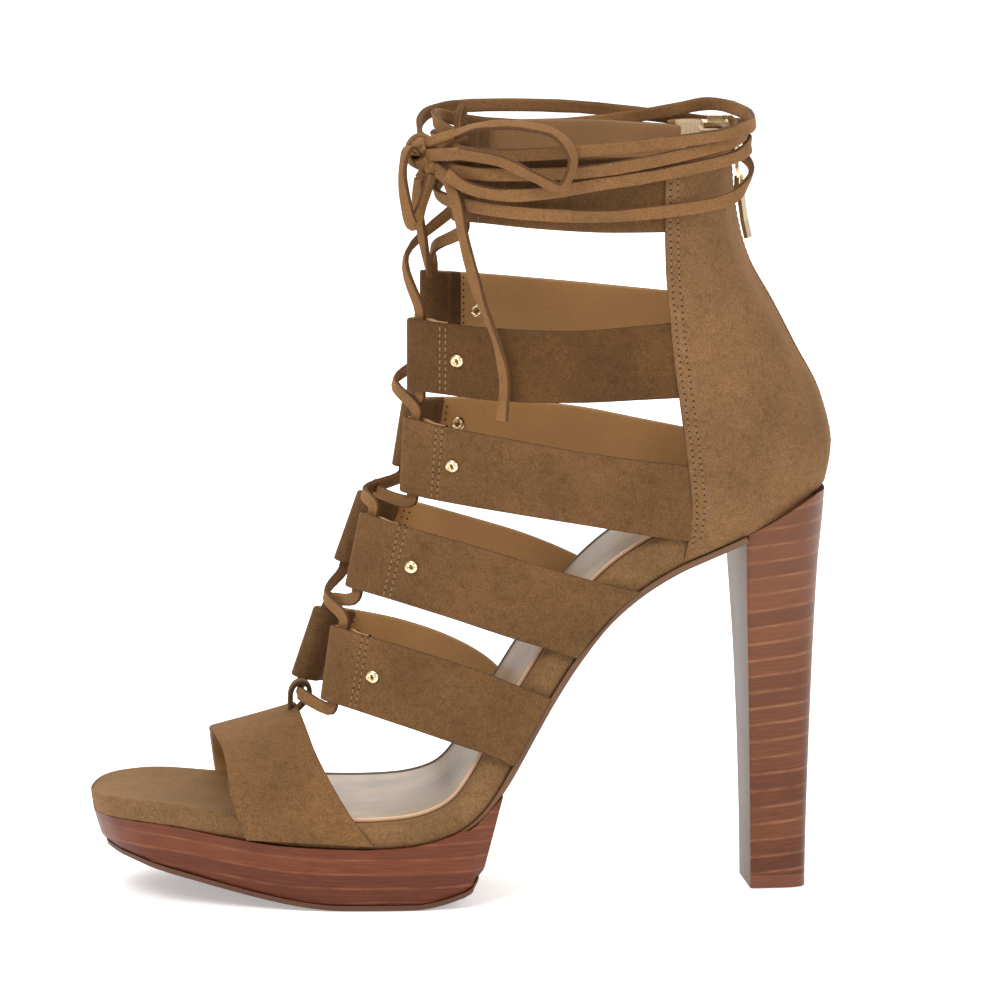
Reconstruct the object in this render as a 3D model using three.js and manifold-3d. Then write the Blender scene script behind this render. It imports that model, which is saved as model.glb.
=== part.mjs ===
// Lace-up heeled sandal on a stacked platform, one shoe (left foot), millimetres.
// Toe towards -X, heel towards +X, outer (lateral) side at -Y, +Z up, floor at z = 0.
// Origin: centre of the plan box of the shoe without its free laces, on the floor.
import * as THREE from 'three';
import { mergeVertices } from 'three/addons/utils/BufferGeometryUtils.js';
import Module from 'manifold-3d';

const wasm = await Module();
wasm.setup();

// ---------------------------------------------------------------- sizes (mm)
const GAP = 0.3;          // clearance between neighbouring pieces
const WALL = 1.8;         // suede and lining of the upper
const SOLE_T = 1.7;       // thin sole under the shank
const INSOLE_T = 1.0;     // sock
const OUTSOLE_T = 1.6;    // walking layer under the platform
const LIFT_T = 4.0;       // top piece of the heel
const LACE_W = 3.6;       // flat lace
const LACE_T = 1.5;
const CORD_D = 3.0;       // round cord of the same section area, free stretches
const RIVET_R = 2.1;
const ORIGIN_X = -11.5;   // centre of the plan box in the drafting frame
const ORIGIN_Y = -0.15;

// ------------------------------------------------------- tables of sections
// Seat line: where the wrapped footbed meets what is under it.
// x, z: centre of the line; t: footbed thickness square to it;
// c: middle of the width; w: half width.
const SOLE_ROWS = [
  { x: -120.5, z: 24.2, t: 4.4, c: 6.6, w: 4.5 },
  { x: -119.0, z: 24.3, t: 5.2, c: 6.4, w: 12.5 },
  { x: -115.5, z: 24.4, t: 5.8, c: 6.2, w: 20.0 },
  { x: -109.0, z: 24.4, t: 6.1, c: 5.6, w: 26.5 },
  { x: -99.0, z: 23.9, t: 6.3, c: 4.8, w: 31.8 },
  { x: -84.0, z: 21.9, t: 6.5, c: 3.2, w: 36.3 },
  { x: -68.0, z: 19.9, t: 6.7, c: 1.6, w: 39.0 },
  { x: -52.0, z: 19.1, t: 6.9, c: 0.0, w: 40.3 },
  { x: -38.0, z: 19.0, t: 7.1, c: -1.4, w: 40.0 },
  { x: -26.0, z: 20.0, t: 7.4, c: -2.8, w: 38.4 },
  { x: -16.5, z: 22.7, t: 7.8, c: -3.9, w: 36.2 },
  { x: -9.6, z: 27.0, t: 8.2, c: -4.7, w: 34.2 },
  { x: -4.0, z: 33.6, t: 8.5, c: -5.1, w: 32.4 },
  { x: 1.6, z: 43.0, t: 8.6, c: -5.4, w: 31.0 },
  { x: 7.2, z: 53.0, t: 8.6, c: -5.5, w: 29.8 },
  { x: 12.9, z: 62.8, t: 8.5, c: -5.4, w: 28.9 },
  { x: 20.0, z: 73.4, t: 8.8, c: -5.1, w: 27.8 },
  { x: 28.8, z: 84.2, t: 9.6, c: -4.6, w: 26.7 },
  { x: 39.0, z: 92.8, t: 10.4, c: -4.0, w: 25.9 },
  { x: 50.0, z: 99.2, t: 10.2, c: -2.8, w: 25.4 },
  { x: 60.0, z: 103.4, t: 9.0, c: -1.6, w: 25.3 },
  { x: 70.0, z: 107.5, t: 7.5, c: -0.7, w: 24.8 },
  { x: 79.0, z: 111.8, t: 6.5, c: 0.1, w: 23.0 },
  { x: 87.0, z: 116.0, t: 5.0, c: 0.6, w: 18.6 },
  { x: 91.2, z: 118.2, t: 4.8, c: 0.9, w: 13.0 },
  { x: 93.4, z: 119.3, t: 4.4, c: 1.0, w: 6.0 },
];
// Platform: its lower face along the shoe and how far its foot is drawn in.
const PLATFORM_ROWS = [
  { x: -116.6, zb: 12.9, inset: 2.2 },
  { x: -112.0, zb: 12.1, inset: 2.5 },
  { x: -107.0, zb: 11.1, inset: 2.8 },
  { x: -98.0, zb: 9.0, inset: 3.2 },
  { x: -89.0, zb: 6.9, inset: 3.4 },
  { x: -80.0, zb: 4.8, inset: 3.4 },
  { x: -71.0, zb: 2.8, inset: 3.2 },
  { x: -63.0, zb: 1.3, inset: 3.0 },
  { x: -56.0, zb: 0.4, inset: 2.9 },
  { x: -50.0, zb: 0.0, inset: 2.9 },
  { x: -27.0, zb: 0.0, inset: 2.9 },
  { x: -20.0, zb: 1.1, inset: 2.9 },
  { x: -13.0, zb: 3.2, inset: 3.0 },
  { x: -8.6, zb: 5.6, inset: 3.4 },
];
const PLATFORM_BACK = { xTop: -1.6, zTop: 34.0, lean: 0.24 };
// Heel block: level sections. xf breast, xb back, w half width, n squareness.
const HEEL_SKEW = 0.05;   // the heel is turned with the counter's axis
const HEEL_ROWS = [
  { z: 0.0, xf: 72.8, xb: 89.8, w: 12.6, n: 5.0 },
  { z: 20.0, xf: 72.6, xb: 90.2, w: 13.2, n: 4.6 },
  { z: 50.0, xf: 72.0, xb: 91.2, w: 14.9, n: 4.0 },
  { z: 78.0, xf: 71.2, xb: 92.4, w: 17.6, n: 3.4 },
  { z: 98.0, xf: 70.4, xb: 93.6, w: 21.0, n: 2.9 },
  { z: 112.0, xf: 69.9, xb: 95.0, w: 24.0, n: 2.6 },
  { z: 126.0, xf: 69.7, xb: 96.0, w: 25.4, n: 2.5 },
];
// Counter: rings from the near front edge round the back to the far one.
// xf, zf front edge; xb, zb back; w half width; n fullness of the back.
const COUNTER_ROWS = [
  { xf: 50.5, zf: 98.4, xb: 95.6, zb: 118.8, w: 27.4, n: 2.3 },
  { xf: 53.0, zf: 111.0, xb: 97.4, zb: 127.0, w: 29.6, n: 2.3 },
  { xf: 53.0, zf: 121.0, xb: 97.8, zb: 133.0, w: 31.0, n: 2.25 },
  { xf: 51.8, zf: 132.0, xb: 96.6, zb: 140.0, w: 31.8, n: 2.2 },
  { xf: 50.2, zf: 146.0, xb: 93.4, zb: 150.0, w: 32.2, n: 2.1 },
  { xf: 48.4, zf: 160.0, xb: 87.6, zb: 160.8, w: 32.4, n: 2.0 },
  { xf: 47.0, zf: 174.0, xb: 80.8, zb: 174.0, w: 32.6, n: 2.0 },
  { xf: 46.0, zf: 187.0, xb: 73.6, zb: 187.0, w: 33.0, n: 2.0 },
  { xf: 45.6, zf: 200.0, xb: 69.9, zb: 199.6, w: 33.6, n: 2.0 },
  { xf: 45.6, zf: 212.0, xb: 68.3, zb: 212.6, w: 34.0, n: 2.0 },
  { xf: 45.8, zf: 222.6, xb: 67.9, zb: 225.6, w: 34.2, n: 2.0 },
];
const ZIP_HALF = 1.5;     // half of the slit that the zip closes
const COUNTER_AXIS = { x0: 50, y0: -0.6, slope: 0.035 };
const FAR_BACK = 6.0;     // the far front edge stands this much further back

// Straps: outer face, from the front (folded end) back to where they are held.
// xt yt zt: upper edge; xb yb zb: lower edge.
const STRAPS = {
  s1_near: [
    { xt: -26.6, yt: -15.6, zt: 171.9, xb: -26.6, yb: -15.6, zb: 150.6 },
    { xt: -19.0, yt: -22.6, zt: 171.9, xb: -19.0, yb: -22.6, zb: 150.6 },
    { xt: -2.0, yt: -29.6, zt: 171.0, xb: -2.0, yb: -29.6, zb: 149.4 },
    { xt: 21.0, yt: -32.6, zt: 170.6, xb: 21.0, yb: -32.6, zb: 149.1 },
    { xt: 40.0, yt: -32.6, zt: 172.0, xb: 40.0, yb: -32.6, zb: 149.8 },
    { xt: 53.0, yt: -31.9, zt: 173.0, xb: 53.0, yb: -31.7, zb: 150.2 },
  ],
  s1_far: [
    { xt: -21.0, yt: 16.8, zt: 181.8, xb: -21.0, yb: 16.8, zb: 159.6 },
    { xt: -11.5, yt: 24.8, zt: 180.0, xb: -11.5, yb: 24.8, zb: 157.6 },
    { xt: 8.0, yt: 31.2, zt: 177.4, xb: 8.0, yb: 31.2, zb: 154.8 },
    { xt: 28.0, yt: 32.4, zt: 175.2, xb: 28.0, yb: 32.4, zb: 152.6 },
    { xt: 42.0, yt: 31.4, zt: 173.8, xb: 42.0, yb: 31.4, zb: 151.2 },
    { xt: 61.0, yt: 30.9, zt: 171.8, xb: 61.0, yb: 30.8, zb: 149.6 },
  ],
  s2_near: [
    { xt: -27.6, yt: -16.8, zt: 142.6, xb: -28.8, yb: -16.4, zb: 120.2 },
    { xt: -20.0, yt: -23.0, zt: 141.6, xb: -21.6, yb: -22.6, zb: 119.3 },
    { xt: -2.0, yt: -29.9, zt: 138.8, xb: -2.8, yb: -30.0, zb: 116.8 },
    { xt: 24.0, yt: -32.7, zt: 134.2, xb: 23.4, yb: -32.4, zb: 112.6 },
    { xt: 44.0, yt: -31.8, zt: 131.2, xb: 43.2, yb: -31.0, zb: 108.9 },
    { xt: 57.0, yt: -31.3, zt: 129.6, xb: 56.4, yb: -28.9, zb: 106.8 },
  ],
  s2_far: [
    { xt: -26.0, yt: 17.0, zt: 143.8, xb: -29.6, yb: 14.6, zb: 123.6 },
    { xt: -16.0, yt: 24.7, zt: 142.6, xb: -19.0, yb: 23.8, zb: 121.1 },
    { xt: 2.0, yt: 30.7, zt: 141.0, xb: 2.0, yb: 30.7, zb: 119.0 },
    { xt: 24.4, yt: 32.5, zt: 138.2, xb: 24.4, yb: 32.2, zb: 115.6 },
    { xt: 44.0, yt: 31.0, zt: 134.4, xb: 43.6, yb: 30.2, zb: 111.8 },
    { xt: 63.4, yt: 30.2, zt: 130.4, xb: 62.6, yb: 28.4, zb: 107.6 },
  ],
  collar_near: [
    { xt: -14.0, yt: -16.6, zt: 219.0, xb: -14.0, yb: -16.6, zb: 200.8 },
    { xt: -7.0, yt: -25.0, zt: 220.2, xb: -7.0, yb: -25.0, zb: 201.4 },
    { xt: 9.0, yt: -32.0, zt: 221.4, xb: 8.0, yb: -31.8, zb: 200.6 },
    { xt: 26.0, yt: -33.8, zt: 221.8, xb: 25.4, yb: -33.6, zb: 199.6 },
    { xt: 38.0, yt: -34.0, zt: 221.9, xb: 38.0, yb: -33.6, zb: 199.4 },
    { xt: 51.0, yt: -33.5, zt: 221.9, xb: 51.0, yb: -32.9, zb: 199.4 },
  ],
  collar_far: [
    { xt: -12.4, yt: 19.6, zt: 224.0, xb: -12.4, yb: 19.6, zb: 204.6 },
    { xt: -4.0, yt: 27.0, zt: 224.4, xb: -4.0, yb: 27.0, zb: 203.8 },
    { xt: 12.0, yt: 32.4, zt: 224.3, xb: 12.0, yb: 32.2, zb: 202.8 },
    { xt: 28.0, yt: 33.4, zt: 224.0, xb: 28.0, yb: 33.0, zb: 202.4 },
    { xt: 40.0, yt: 32.6, zt: 223.4, xb: 40.0, yb: 32.2, zb: 201.6 },
    { xt: 57.6, yt: 30.6, zt: 222.2, xb: 57.6, yb: 30.2, zb: 200.8 },
  ],
  strap_3_near: [
    { xt: -40.6, yt: -16.6, zt: 114.4, xb: -45.2, yb: -18.4, zb: 92.6 },
    { xt: -31.0, yt: -26.0, zt: 112.6, xb: -36.0, yb: -27.2, zb: 91.2 },
    { xt: -11.0, yt: -33.3, zt: 107.7, xb: -19.0, yb: -33.6, zb: 86.6 },
    { xt: 9.0, yt: -35.3, zt: 101.6, xb: -1.0, yb: -36.2, zb: 80.8 },
    { xt: 26.0, yt: -34.0, zt: 96.4, xb: 12.0, yb: -36.6, zb: 76.8 },
    { xt: 39.4, yt: -32.2, zt: 92.7, xb: 20.4, yb: -35.4, zb: 73.6 },
  ],
  strap_3_far: [
    { xt: -38.6, yt: 19.4, zt: 115.4, xb: -46.4, yb: 17.0, zb: 95.0 },
    { xt: -26.0, yt: 26.3, zt: 111.6, xb: -34.0, yb: 25.4, zb: 90.6 },
    { xt: -9.8, yt: 29.8, zt: 106.4, xb: -17.0, yb: 29.8, zb: 84.4 },
    { xt: 8.0, yt: 29.8, zt: 100.9, xb: -2.0, yb: 30.0, zb: 79.6 },
    { xt: 22.0, yt: 27.6, zt: 95.4, xb: 9.0, yb: 28.4, zb: 74.6 },
    { xt: 34.0, yt: 24.8, zt: 89.4, xb: 16.0, yb: 25.9, zb: 67.6 },
  ],
  strap_4_near: [
    { xt: -49.6, yt: -19.0, zt: 81.2, xb: -53.0, yb: -18.6, zb: 59.0 },
    { xt: -42.0, yt: -27.2, zt: 80.2, xb: -46.0, yb: -27.4, zb: 58.2 },
    { xt: -26.0, yt: -34.8, zt: 76.4, xb: -31.0, yb: -35.2, zb: 54.2 },
    { xt: -8.0, yt: -38.2, zt: 70.8, xb: -15.0, yb: -39.2, zb: 49.2 },
    { xt: 4.0, yt: -38.4, zt: 66.0, xb: -5.0, yb: -40.2, zb: 45.8 },
    { xt: 13.2, yt: -37.2, zt: 62.0, xb: 2.0, yb: -39.3, zb: 42.3 },
  ],
  strap_4_far: [
    { xt: -52.2, yt: 18.6, zt: 81.2, xb: -59.4, yb: 17.4, zb: 60.6 },
    { xt: -43.0, yt: 25.6, zt: 79.0, xb: -49.6, yb: 25.8, zb: 57.4 },
    { xt: -27.8, yt: 30.8, zt: 74.8, xb: -34.0, yb: 31.4, zb: 53.0 },
    { xt: -13.0, yt: 32.0, zt: 69.4, xb: -19.6, yb: 33.2, zb: 47.8 },
    { xt: -1.0, yt: 30.2, zt: 62.6, xb: -9.8, yb: 32.0, zb: 40.6 },
    { xt: 7.6, yt: 27.3, zt: 53.4, xb: -4.6, yb: 30.0, zb: 32.4 },
  ],
};
// Toe strap: arch over the toes from the near side to the far side.
// xf, xb: front and back edge; y; zf, zb: heights of those edges.
const TOE_ROWS = [
  { xf: -77.3, xb: -40.0, yf: -39.6, yb: -42.9, zf: 21.8, zb: 19.9 },
  { xf: -79.6, xb: -46.6, yf: -39.0, yb: -41.2, zf: 27.6, zb: 28.8 },
  { xf: -81.8, xb: -52.2, yf: -35.6, yb: -36.6, zf: 34.4, zb: 38.2 },
  { xf: -82.4, xb: -56.4, yf: -27.4, yb: -27.4, zf: 40.6, zb: 46.4 },
  { xf: -83.2, xb: -58.8, yf: -14.4, yb: -14.0, zf: 44.8, zb: 52.2 },
  { xf: -85.2, xb: -60.0, yf: 2.0, yb: 1.0, zf: 46.9, zb: 54.6 },
  { xf: -85.4, xb: -59.8, yf: 18.0, yb: 15.6, zf: 45.4, zb: 52.6 },
  { xf: -84.6, xb: -58.8, yf: 30.6, yb: 28.6, zf: 41.0, zb: 46.8 },
  { xf: -83.6, xb: -56.2, yf: 38.2, yb: 37.4, zf: 34.8, zb: 38.4 },
  { xf: -82.6, xb: -52.6, yf: 41.6, yb: 41.8, zf: 28.2, zb: 28.8 },
  { xf: -81.6, xb: -49.4, yf: 42.0, yb: 42.6, zf: 22.6, zb: 20.2 },
];
// Rivets: strap, how far along it (0 front, 1 back), middle of the width.
const RIVETS = [
  { on: 's1_near', at: 4 / 15 }, { on: 's1_far', at: 4 / 15 },
  { on: 's2_near', at: 4 / 15 }, { on: 's2_far', at: 4 / 15, across: 0.64 },
  { on: 'strap_3_near', at: 4 / 15 }, { on: 'strap_3_far', at: 4 / 15 },
  { on: 'strap_4_near', at: 4 / 15 }, { on: 'strap_4_far', at: 4 / 15 },
];

// ------------------------------------------------------------------ helpers
const V = (x, y, z) => new THREE.Vector3(x, y, z);
const lerp = (a, b, t) => a + (b - a) * t;

// Smooth value of one column of a table at row position u (0 .. rows-1).
function column(rows, key, u) {
  const n = rows.length - 1;
  const i = Math.min(n - 1, Math.max(0, Math.floor(u)));
  const t = u - i;
  const p1 = rows[i][key], p2 = rows[i + 1][key];
  const p0 = i > 0 ? rows[i - 1][key] : 2 * p1 - p2;
  const p3 = i < n - 1 ? rows[i + 2][key] : 2 * p2 - p1;
  return 0.5 * (2 * p1 + (p2 - p0) * t + (2 * p0 - 5 * p1 + 4 * p2 - p3) * t * t
    + (3 * p1 - p0 - 3 * p2 + p3) * t * t * t);
}
function rowAt(rows, u) {
  const out = {};
  for (const key of Object.keys(rows[0])) out[key] = column(rows, key, u);
  return out;
}
function steps(rows, per) {
  const list = [];
  const n = (rows.length - 1) * per;
  for (let i = 0; i <= n; i += 1) list.push(i / per);
  return list;
}
// Value of a column by x (x rises down the table).
function byX(rows, key, x) {
  if (x <= rows[0].x) return rows[0][key];
  for (let i = 0; i < rows.length - 1; i += 1) {
    if (x <= rows[i + 1].x) {
      return column(rows, key, i + (x - rows[i].x) / (rows[i + 1].x - rows[i].x));
    }
  }
  return rows[rows.length - 1][key];
}

// Closed body from rings of equal point counts, both ends capped by a fan.
function loft(rings) {
  const pos = [], idx = [];
  const m = rings[0].length;
  rings.forEach((ring) => ring.forEach((p) => pos.push(p.x, p.y, p.z)));
  for (let i = 0; i < rings.length - 1; i += 1) {
    for (let j = 0; j < m; j += 1) {
      const a = i * m + j, b = i * m + ((j + 1) % m), c = a + m, d = b + m;
      idx.push(a, b, d, a, d, c);
    }
  }
  for (const [start, flip] of [[0, true], [(rings.length - 1) * m, false]]) {
    const ring = start === 0 ? rings[0] : rings[rings.length - 1];
    const mid = ring.reduce((s, p) => s.add(p), V(0, 0, 0)).multiplyScalar(1 / m);
    const c = pos.length / 3;
    pos.push(mid.x, mid.y, mid.z);
    for (let j = 0; j < m; j += 1) {
      const a = start + j, b = start + ((j + 1) % m);
      if (flip) idx.push(c, b, a); else idx.push(c, a, b);
    }
  }
  return outward(toGeometry(pos, idx));
}
function toGeometry(pos, idx) {
  const g = new THREE.BufferGeometry();
  g.setAttribute('position', new THREE.Float32BufferAttribute(pos, 3));
  g.setIndex(idx);
  return g;
}
function volume(g) {
  const p = g.attributes.position, ix = g.index.array;
  let v = 0;
  const a = V(0, 0, 0), b = V(0, 0, 0), c = V(0, 0, 0);
  for (let i = 0; i < ix.length; i += 3) {
    a.fromBufferAttribute(p, ix[i]); b.fromBufferAttribute(p, ix[i + 1]);
    c.fromBufferAttribute(p, ix[i + 2]);
    v += a.dot(b.cross(c)) / 6;
  }
  return v;
}
function outward(g) {
  if (volume(g) < 0) {
    const ix = Array.from(g.index.array);
    for (let i = 0; i < ix.length; i += 3) [ix[i + 1], ix[i + 2]] = [ix[i + 2], ix[i + 1]];
    g.setIndex(ix);
  }
  return g;
}
function solid(g) {
  let h = g.clone();
  h.deleteAttribute('normal'); h.deleteAttribute('uv');
  h = mergeVertices(h, 1e-4);
  return new wasm.Manifold(new wasm.Mesh({
    numProp: 3,
    vertProperties: new Float32Array(h.attributes.position.array),
    triVerts: new Uint32Array(h.index.array),
  }));
}
function geometry(man) {
  const m = man.getMesh();
  const pos = [];
  for (let i = 0; i < m.vertProperties.length; i += m.numProp) {
    pos.push(m.vertProperties[i], m.vertProperties[i + 1], m.vertProperties[i + 2]);
  }
  return toGeometry(pos, Array.from(m.triVerts));
}
function join(list) {
  return list.map(solid).reduce((a, b) => a.add(b));
}

// --------------------------------------------------------- footbed and soles
// Frame of the seat line at row position u: point and its upward normal.
function seat(u) {
  const e = 0.02, last = SOLE_ROWS.length - 1;
  const a = rowAt(SOLE_ROWS, Math.max(0, u - e)), b = rowAt(SOLE_ROWS, Math.min(last, u + e));
  const d = Math.hypot(b.x - a.x, b.z - a.z);
  const r = rowAt(SOLE_ROWS, u);
  return { ...r, nx: -(b.z - a.z) / d, nz: (b.x - a.x) / d };
}
// One layer along the seat line. low/high: offsets square to it; out/topOut:
// how much wider than the footbed it is at the bottom and at the top;
// round: corner drawn in at the top edge.
function layer(us, low, high, out, topOut, round, push = 0, turn = 0) {
  const list = push > 0 ? [...us, us[us.length - 1]] : us;
  return loft(list.map((u, i) => {
    const s = seat(u);
    if (i >= us.length) { s.x += s.nz * push; s.z -= s.nx * push; }
    const lo = typeof low === 'function' ? low(s) : low;
    const hi = typeof high === 'function' ? high(s) : high;
    const back = (y) => (i === list.length - 1 ? -(y - s.c) * turn / s.nz : 0);
    const at = (y, h) => V(s.x + s.nx * h + s.nz * back(y), y, s.z + s.nz * h - s.nx * back(y));
    const wb = Math.max(0.8, s.w + out), wt = Math.max(0.6, s.w + topOut);
    const r = Math.min(round, (hi - lo) * 0.45);
    return [
      at(s.c - wb, lo), at(s.c - wt - (wb - wt) * 0.0, hi - r), at(s.c - wt + r, hi),
      at(s.c + wt - r, hi), at(s.c + wt, hi - r), at(s.c + wb, lo),
    ];
  }));
}
const lastRow = SOLE_ROWS.length - 1;
const allU = steps(SOLE_ROWS, 2);
const footbed = layer(allU, 0, (s) => s.t, 0, -0.6, 1.6);

// Insole: lies on the footbed, from under the toe strap to the heel seat.
const insoleU = allU.filter((u) => u >= 5.5 && u <= lastRow - 1);
const insole = layer(insoleU, (s) => s.t + GAP, (s) => s.t + GAP + INSOLE_T, -5.4, -5.6, 0.2);

// Row position on the seat line for an x.
function uOfX(x) {
  let lo = 0, hi = lastRow;
  for (let i = 0; i < 40; i += 1) {
    const m = (lo + hi) / 2;
    if (column(SOLE_ROWS, 'x', m) < x) lo = m; else hi = m;
  }
  return (lo + hi) / 2;
}
const SHANK = { from: -14.0, to: 69.2, thin: 0.6, full: 0.0 }; // tapers where it runs in over the platform
const shankT = (x) => lerp(SHANK.thin, SOLE_T, Math.min(1, Math.max(0, (x - SHANK.from) / (SHANK.full - SHANK.from))));
const shankU = [uOfX(SHANK.from), ...allU.filter((u) => u > uOfX(SHANK.from) + 0.15
  && u < uOfX(SHANK.to) - 0.15), uOfX(SHANK.to)];
const shankSole = layer(shankU, (s) => -GAP - shankT(s.x), -GAP, 0.9, 1.4, 0.3, 0, HEEL_SKEW);

// Platform: from the seat line down to the rocker of its lower face.
function platformRings(top, bottom, xs, extra, even = false) {
  return xs.map((x) => {
    const c = byX(SOLE_ROWS, 'c', x), w = byX(SOLE_ROWS, 'w', x);
    const inset = byX(PLATFORM_ROWS, 'inset', x);
    const zt = top(x), zb = bottom(x);
    const ledge = 1.3 * Math.min(1, Math.max(0, (x + 100) / 18)); // carries the strap ends
    const wb = Math.max(0.8, w + 0.2 + extra - inset * 0.85);
    const wt = even ? wb + 0.3 : Math.max(0.8, w + 0.2 + ledge + extra);
    const wm = wb + (even ? 0.2 : 0.5);
    const back = (z) => (x > PLATFORM_BACK.xTop - 9
      ? x - Math.max(0, PLATFORM_BACK.zTop - z) * PLATFORM_BACK.lean
        * (x - PLATFORM_BACK.xTop + 9) / 9 : x);
    const front = (z, xx) => (x < -104
      ? xx + Math.max(0, 24 - z) * 0.3 * Math.min(1, (-104 - x) / 12) : xx);
    const fx = (z) => front(z, back(z));
    return [
      V(fx(zb), c - wb + 1.0, zb), V(fx(zb + 1), c - wm, zb + 1.0), V(fx(zt), c - wt, zt),
      V(fx(zt), c + wt, zt), V(fx(zb + 1), c + wm, zb + 1.0), V(fx(zb), c + wb - 1.0, zb),
    ];
  });
}
const platXs = [-120.2, -119.4, -118, -115.5, -112, -107, -101, -94, -87, -80, -72, -64, -56, -46, -37, -28,
  -22, -17, -13, -9.5, -6.5, -4.2, -2.8, -1.6];
const lowFace = (x) => Math.max(0, byX(PLATFORM_ROWS, 'zb', Math.min(-8.6, Math.max(-116.6, x))))
  + (x > -8.6 ? (x + 8.6) * 0.55 : 0) + (x < -116.6 ? (-116.6 - x) * 0.5 : 0);
const seatZ = (x) => byX(SOLE_ROWS, 'z', x);
const aboveSole = layer(allU, (s) => (s.x > SHANK.from - 4 ? -2 * GAP - shankT(s.x) : -GAP), 30, 4, 4, 0.1);
const platform = geometry(solid(loft(platformRings((x) => seatZ(x) + 0.6,
  (x) => lowFace(x) + OUTSOLE_T + GAP, platXs, 0))).subtract(solid(aboveSole)));
const outsoleXs = platXs.filter((x) => x > -119 && x < -5);
const outsole = loft(platformRings((x) => lowFace(x) + OUTSOLE_T, lowFace, outsoleXs, 0.3, true));

// ------------------------------------------------------------------ the heel
function heelRing(r, n) {
  // front corners square, back drawn round
  const pts = [];
  const yc = (x) => COUNTER_AXIS.y0 + (x - COUNTER_AXIS.x0) * COUNTER_AXIS.slope;
  pts.push(V(r.xf, yc(r.xf) - r.w + 0.8, r.z), V(r.xf + 0.8, yc(r.xf) - r.w, r.z));
  const len = r.xb - r.xf - 0.8;
  for (let i = 1; i < n; i += 1) {
    const a = (i / n) * Math.PI;
    const cs = Math.cos(a), sn = Math.sin(a);
    const x = r.xf + 0.8 + len * Math.pow(sn, 2 / r.n);
    const y = -Math.sign(cs) * r.w * Math.pow(Math.abs(cs), 2 / r.n);
    pts.push(V(x, yc(x) + y, r.z));
  }
  pts.push(V(r.xf + 0.8, yc(r.xf) + r.w, r.z), V(r.xf, yc(r.xf) + r.w - 0.8, r.z));
  pts.forEach((p) => { p.x -= (p.y - yc(p.x)) * HEEL_SKEW; });
  return pts;
}
function heelBlock(z0, z1, count) {
  const find = (z) => {
    let lo = 0, hi = HEEL_ROWS.length - 1;
    for (let i = 0; i < 40; i += 1) {
      const m = (lo + hi) / 2;
      if (column(HEEL_ROWS, 'z', m) < z) lo = m; else hi = m;
    }
    return rowAt(HEEL_ROWS, lo);
  };
  const rings = [];
  for (let i = 0; i <= count; i += 1) {
    const z = lerp(z0, z1, i / count);
    rings.push(heelRing({ ...find(z), z }, 12));
  }
  return loft(rings);
}
// Everything above the seat line, a gap lower: cuts the top of the heel.
// Slab between two offsets from the seat line, run on past its ends.
function slab(us, low, high, half) {
  return loft([us[0], ...us, us[us.length - 1]].map((u, i, list) => {
    const s = seat(u);
    const push = i === list.length - 1 ? 12 : i === 0 ? -6 : 0;
    const at = (y, h) => V(s.x + s.nx * h + push * s.nz, y, s.z + s.nz * h - push * s.nx);
    return [at(-half, low), at(-half, high), at(half, high), at(half, low)];
  }));
}
const aboveSeat = slab(allU.filter((u) => u >= uOfX(60)), -GAP, 40, 45);
const heel = geometry(solid(heelBlock(LIFT_T + GAP, 126, 8)).subtract(solid(aboveSeat)));
const lift = heelBlock(0, LIFT_T, 1);

// ----------------------------------------------------------------- the upper
// Strap wall between an upper and a lower edge. fold > 0 turns the front end
// inwards into an open tunnel for the lace.
const FOLD = [ // forward, inward: middle of the wall round the tunnel
  { f: 1.6, i: 0.25 }, { f: 2.9, i: 1.05 }, { f: 3.4, i: 2.3 }, { f: 2.9, i: 3.55 },
  { f: 1.6, i: 4.35 }, { f: 0.0, i: 4.6 }, { f: -2.6, i: 4.5 }, { f: -5.0, i: 3.3 },
  { f: -7.2, i: 2.25 }, { f: -11.0, i: 2.15 },
];
function strapPoint(rows, u) {
  const r = rowAt(rows, u);
  return { top: V(r.xt, r.yt, r.zt), bot: V(r.xb, r.yb, r.zb) };
}
function strapFrame(rows, u) {
  const e = 0.02, n = rows.length - 1;
  const a = strapPoint(rows, Math.max(0, u - e)), b = strapPoint(rows, Math.min(n, u + e));
  const p = strapPoint(rows, u);
  const along = (k) => b[k].clone().sub(a[k]).normalize();
  const width = p.top.clone().sub(p.bot).normalize();
  const side = rows[0].yt < 0 ? 1 : -1;
  const nTop = along('top').cross(width).multiplyScalar(side).normalize();
  const nBot = along('bot').cross(width).multiplyScalar(side).normalize();
  return { ...p, along, nTop, nBot };
}
function strapBand(rows, { fold = true, per = 3, wall = WALL } = {}) {
  const rings = [];
  const n = rows.length - 1;
  if (fold) {
    const f = strapFrame(rows, 0);
    const mid = (key, nor, q) => f[key].clone().addScaledVector(nor, -wall / 2)
      .addScaledVector(f.along(key), -q.f).addScaledVector(nor, -q.i);
    const path = FOLD.map((q) => q);
    for (let k = path.length - 1; k >= 0; k -= 1) {
      const prev = path[Math.max(0, k - 1)], next = path[Math.min(path.length - 1, k + 1)];
      const df = k === 0 ? path[1].f - 0 : next.f - prev.f;
      const di = k === 0 ? path[1].i - 0 : next.i - prev.i;
      const d = Math.hypot(df, di);
      // outward side of the fold: left of the walk inwards
      const of = di / d, oi = -df / d;
      const h = wall / 2;
      const P = (key, nor, s) => mid(key, nor, { f: path[k].f + of * h * s, i: path[k].i + oi * h * s });
      rings.push([P('bot', f.nBot, 1), P('top', f.nTop, 1), P('top', f.nTop, -1), P('bot', f.nBot, -1)]);
    }
  }
  for (const u of steps(rows, per)) {
    const f = strapFrame(rows, u);
    const outTop = f.top.clone(), outBot = f.bot.clone();
    rings.push([outBot, outTop, outTop.clone().addScaledVector(f.nTop, -wall),
      outBot.clone().addScaledVector(f.nBot, -wall)]);
  }
  return loft(rings);
}
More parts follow.
